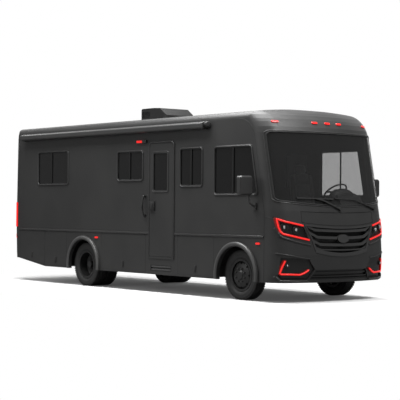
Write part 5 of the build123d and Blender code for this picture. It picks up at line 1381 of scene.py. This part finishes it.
# %% Seat pads
SEAT_Y = 0.570
BACK_LEAN = -8.0
PILLOWS = (
    # name, middle (X, Y from the seat's middle, Z), size (X, Y, Z), lean in degrees, swell
    ("cushion", (2.985, 0.0, 1.510), (0.50, 0.36, 0.150), 0.0, 0.018),
    ("cushion_roll_in", (2.985, -0.215, 1.520), (0.49, 0.085, 0.150), 0.0, 0.012),
    ("cushion_roll_out", (2.985, 0.215, 1.520), (0.49, 0.085, 0.150), 0.0, 0.012),
    ("back_low", (2.732, 0.0, 1.690), (0.115, 0.35, 0.235), BACK_LEAN, 0.014),
    ("back_mid", (2.700, 0.0, 1.915), (0.105, 0.35, 0.215), BACK_LEAN, 0.014),
    ("back_top", (2.669, 0.0, 2.120), (0.100, 0.35, 0.195), BACK_LEAN, 0.012),
    ("back_roll_in", (2.702, -0.212, 1.885), (0.120, 0.085, 0.600), BACK_LEAN, 0.010),
    ("back_roll_out", (2.702, 0.212, 1.885), (0.120, 0.085, 0.600), BACK_LEAN, 0.010),
    ("rest", (2.650, 0.0, 2.290), (0.090, 0.250, 0.150), BACK_LEAN, 0.012),
)


def pillow(name, middle, size, lean, swell):
    """A padded form with round edges that swells in its middle."""
    bm = bmesh.new()
    bmesh.ops.create_cube(bm, size=1.0)
    bmesh.ops.subdivide_edges(bm, edges=bm.edges[:], cuts=4, use_grid_fill=True)
    for vert in bm.verts:
        share = Vector([2 * value for value in vert.co])
        for axis in range(3):
            others = [share[other] for other in range(3) if other != axis]
            room = (1 - others[0] ** 2) * (1 - others[1] ** 2)
            if abs(share[axis]) > 0.99:
                vert.co[axis] = share[axis] * (size[axis] / 2 - swell + swell * 2 * room)
            else:
                vert.co[axis] = share[axis] * (size[axis] / 2 - swell)
    place = Matrix.Translation(middle) @ Matrix.Rotation(math.radians(lean), 4, "Y")
    bmesh.ops.transform(bm, matrix=place, verts=bm.verts)
    piece = finished(name, bm, seat_cloth, smooth=180.0)
    rounder = piece.modifiers.new("rounder", "SUBSURF")
    rounder.levels = rounder.render_levels = 1


print(len(PILLOWS), "pads for each seat")

# %% Seat bases, and both seats
BASE_BLOCKS = (
    # rear X, front X, middle Y from the seat's middle, half width, low Z, high Z, edge's radius, segments
    (2.790, 3.150, 0.0, 0.17, 1.011, 1.415, 0.012, 3),
    (2.745, 3.205, -0.14, 0.018, 1.408, 1.438, 0.004, 2),
    (2.745, 3.205, 0.14, 0.018, 1.408, 1.438, 0.004, 2),
    (2.700, 3.215, 0.0, 0.20, 1.425, 1.447, 0.008, 2),
)
STALK_X, STALK_Z, STALK_APART, STALK_R, STALK_LENGTH = 2.656, 2.205, 0.14, 0.007, 0.14


def seat_base(side):
    """The box under a seat, its slide rails and its pan, and the stalks of its head rest."""
    bm = bmesh.new()
    for rear_x, front_x, offset, half, low_z, high_z, edge, segments in BASE_BLOCKS:
        y = side * SEAT_Y + offset
        block(bm, (rear_x, y - half, low_z), (front_x, y + half, high_z), edge, segments)
    for offset in (-STALK_APART / 2, STALK_APART / 2):
        post(bm, (STALK_X, side * SEAT_Y + offset, STALK_Z), None, STALK_R, STALK_LENGTH, 16)
    return bm


for side_name, side in SIDES:
    base = finished(f"seat_base_{side_name}", seat_base(side), black_plastic)
    for name, middle, *form in PILLOWS:
        pillow(f"{name}_{side_name}", Vector(middle) + Vector((0, side * SEAT_Y, 0)), *form)
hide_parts("cab_seats")
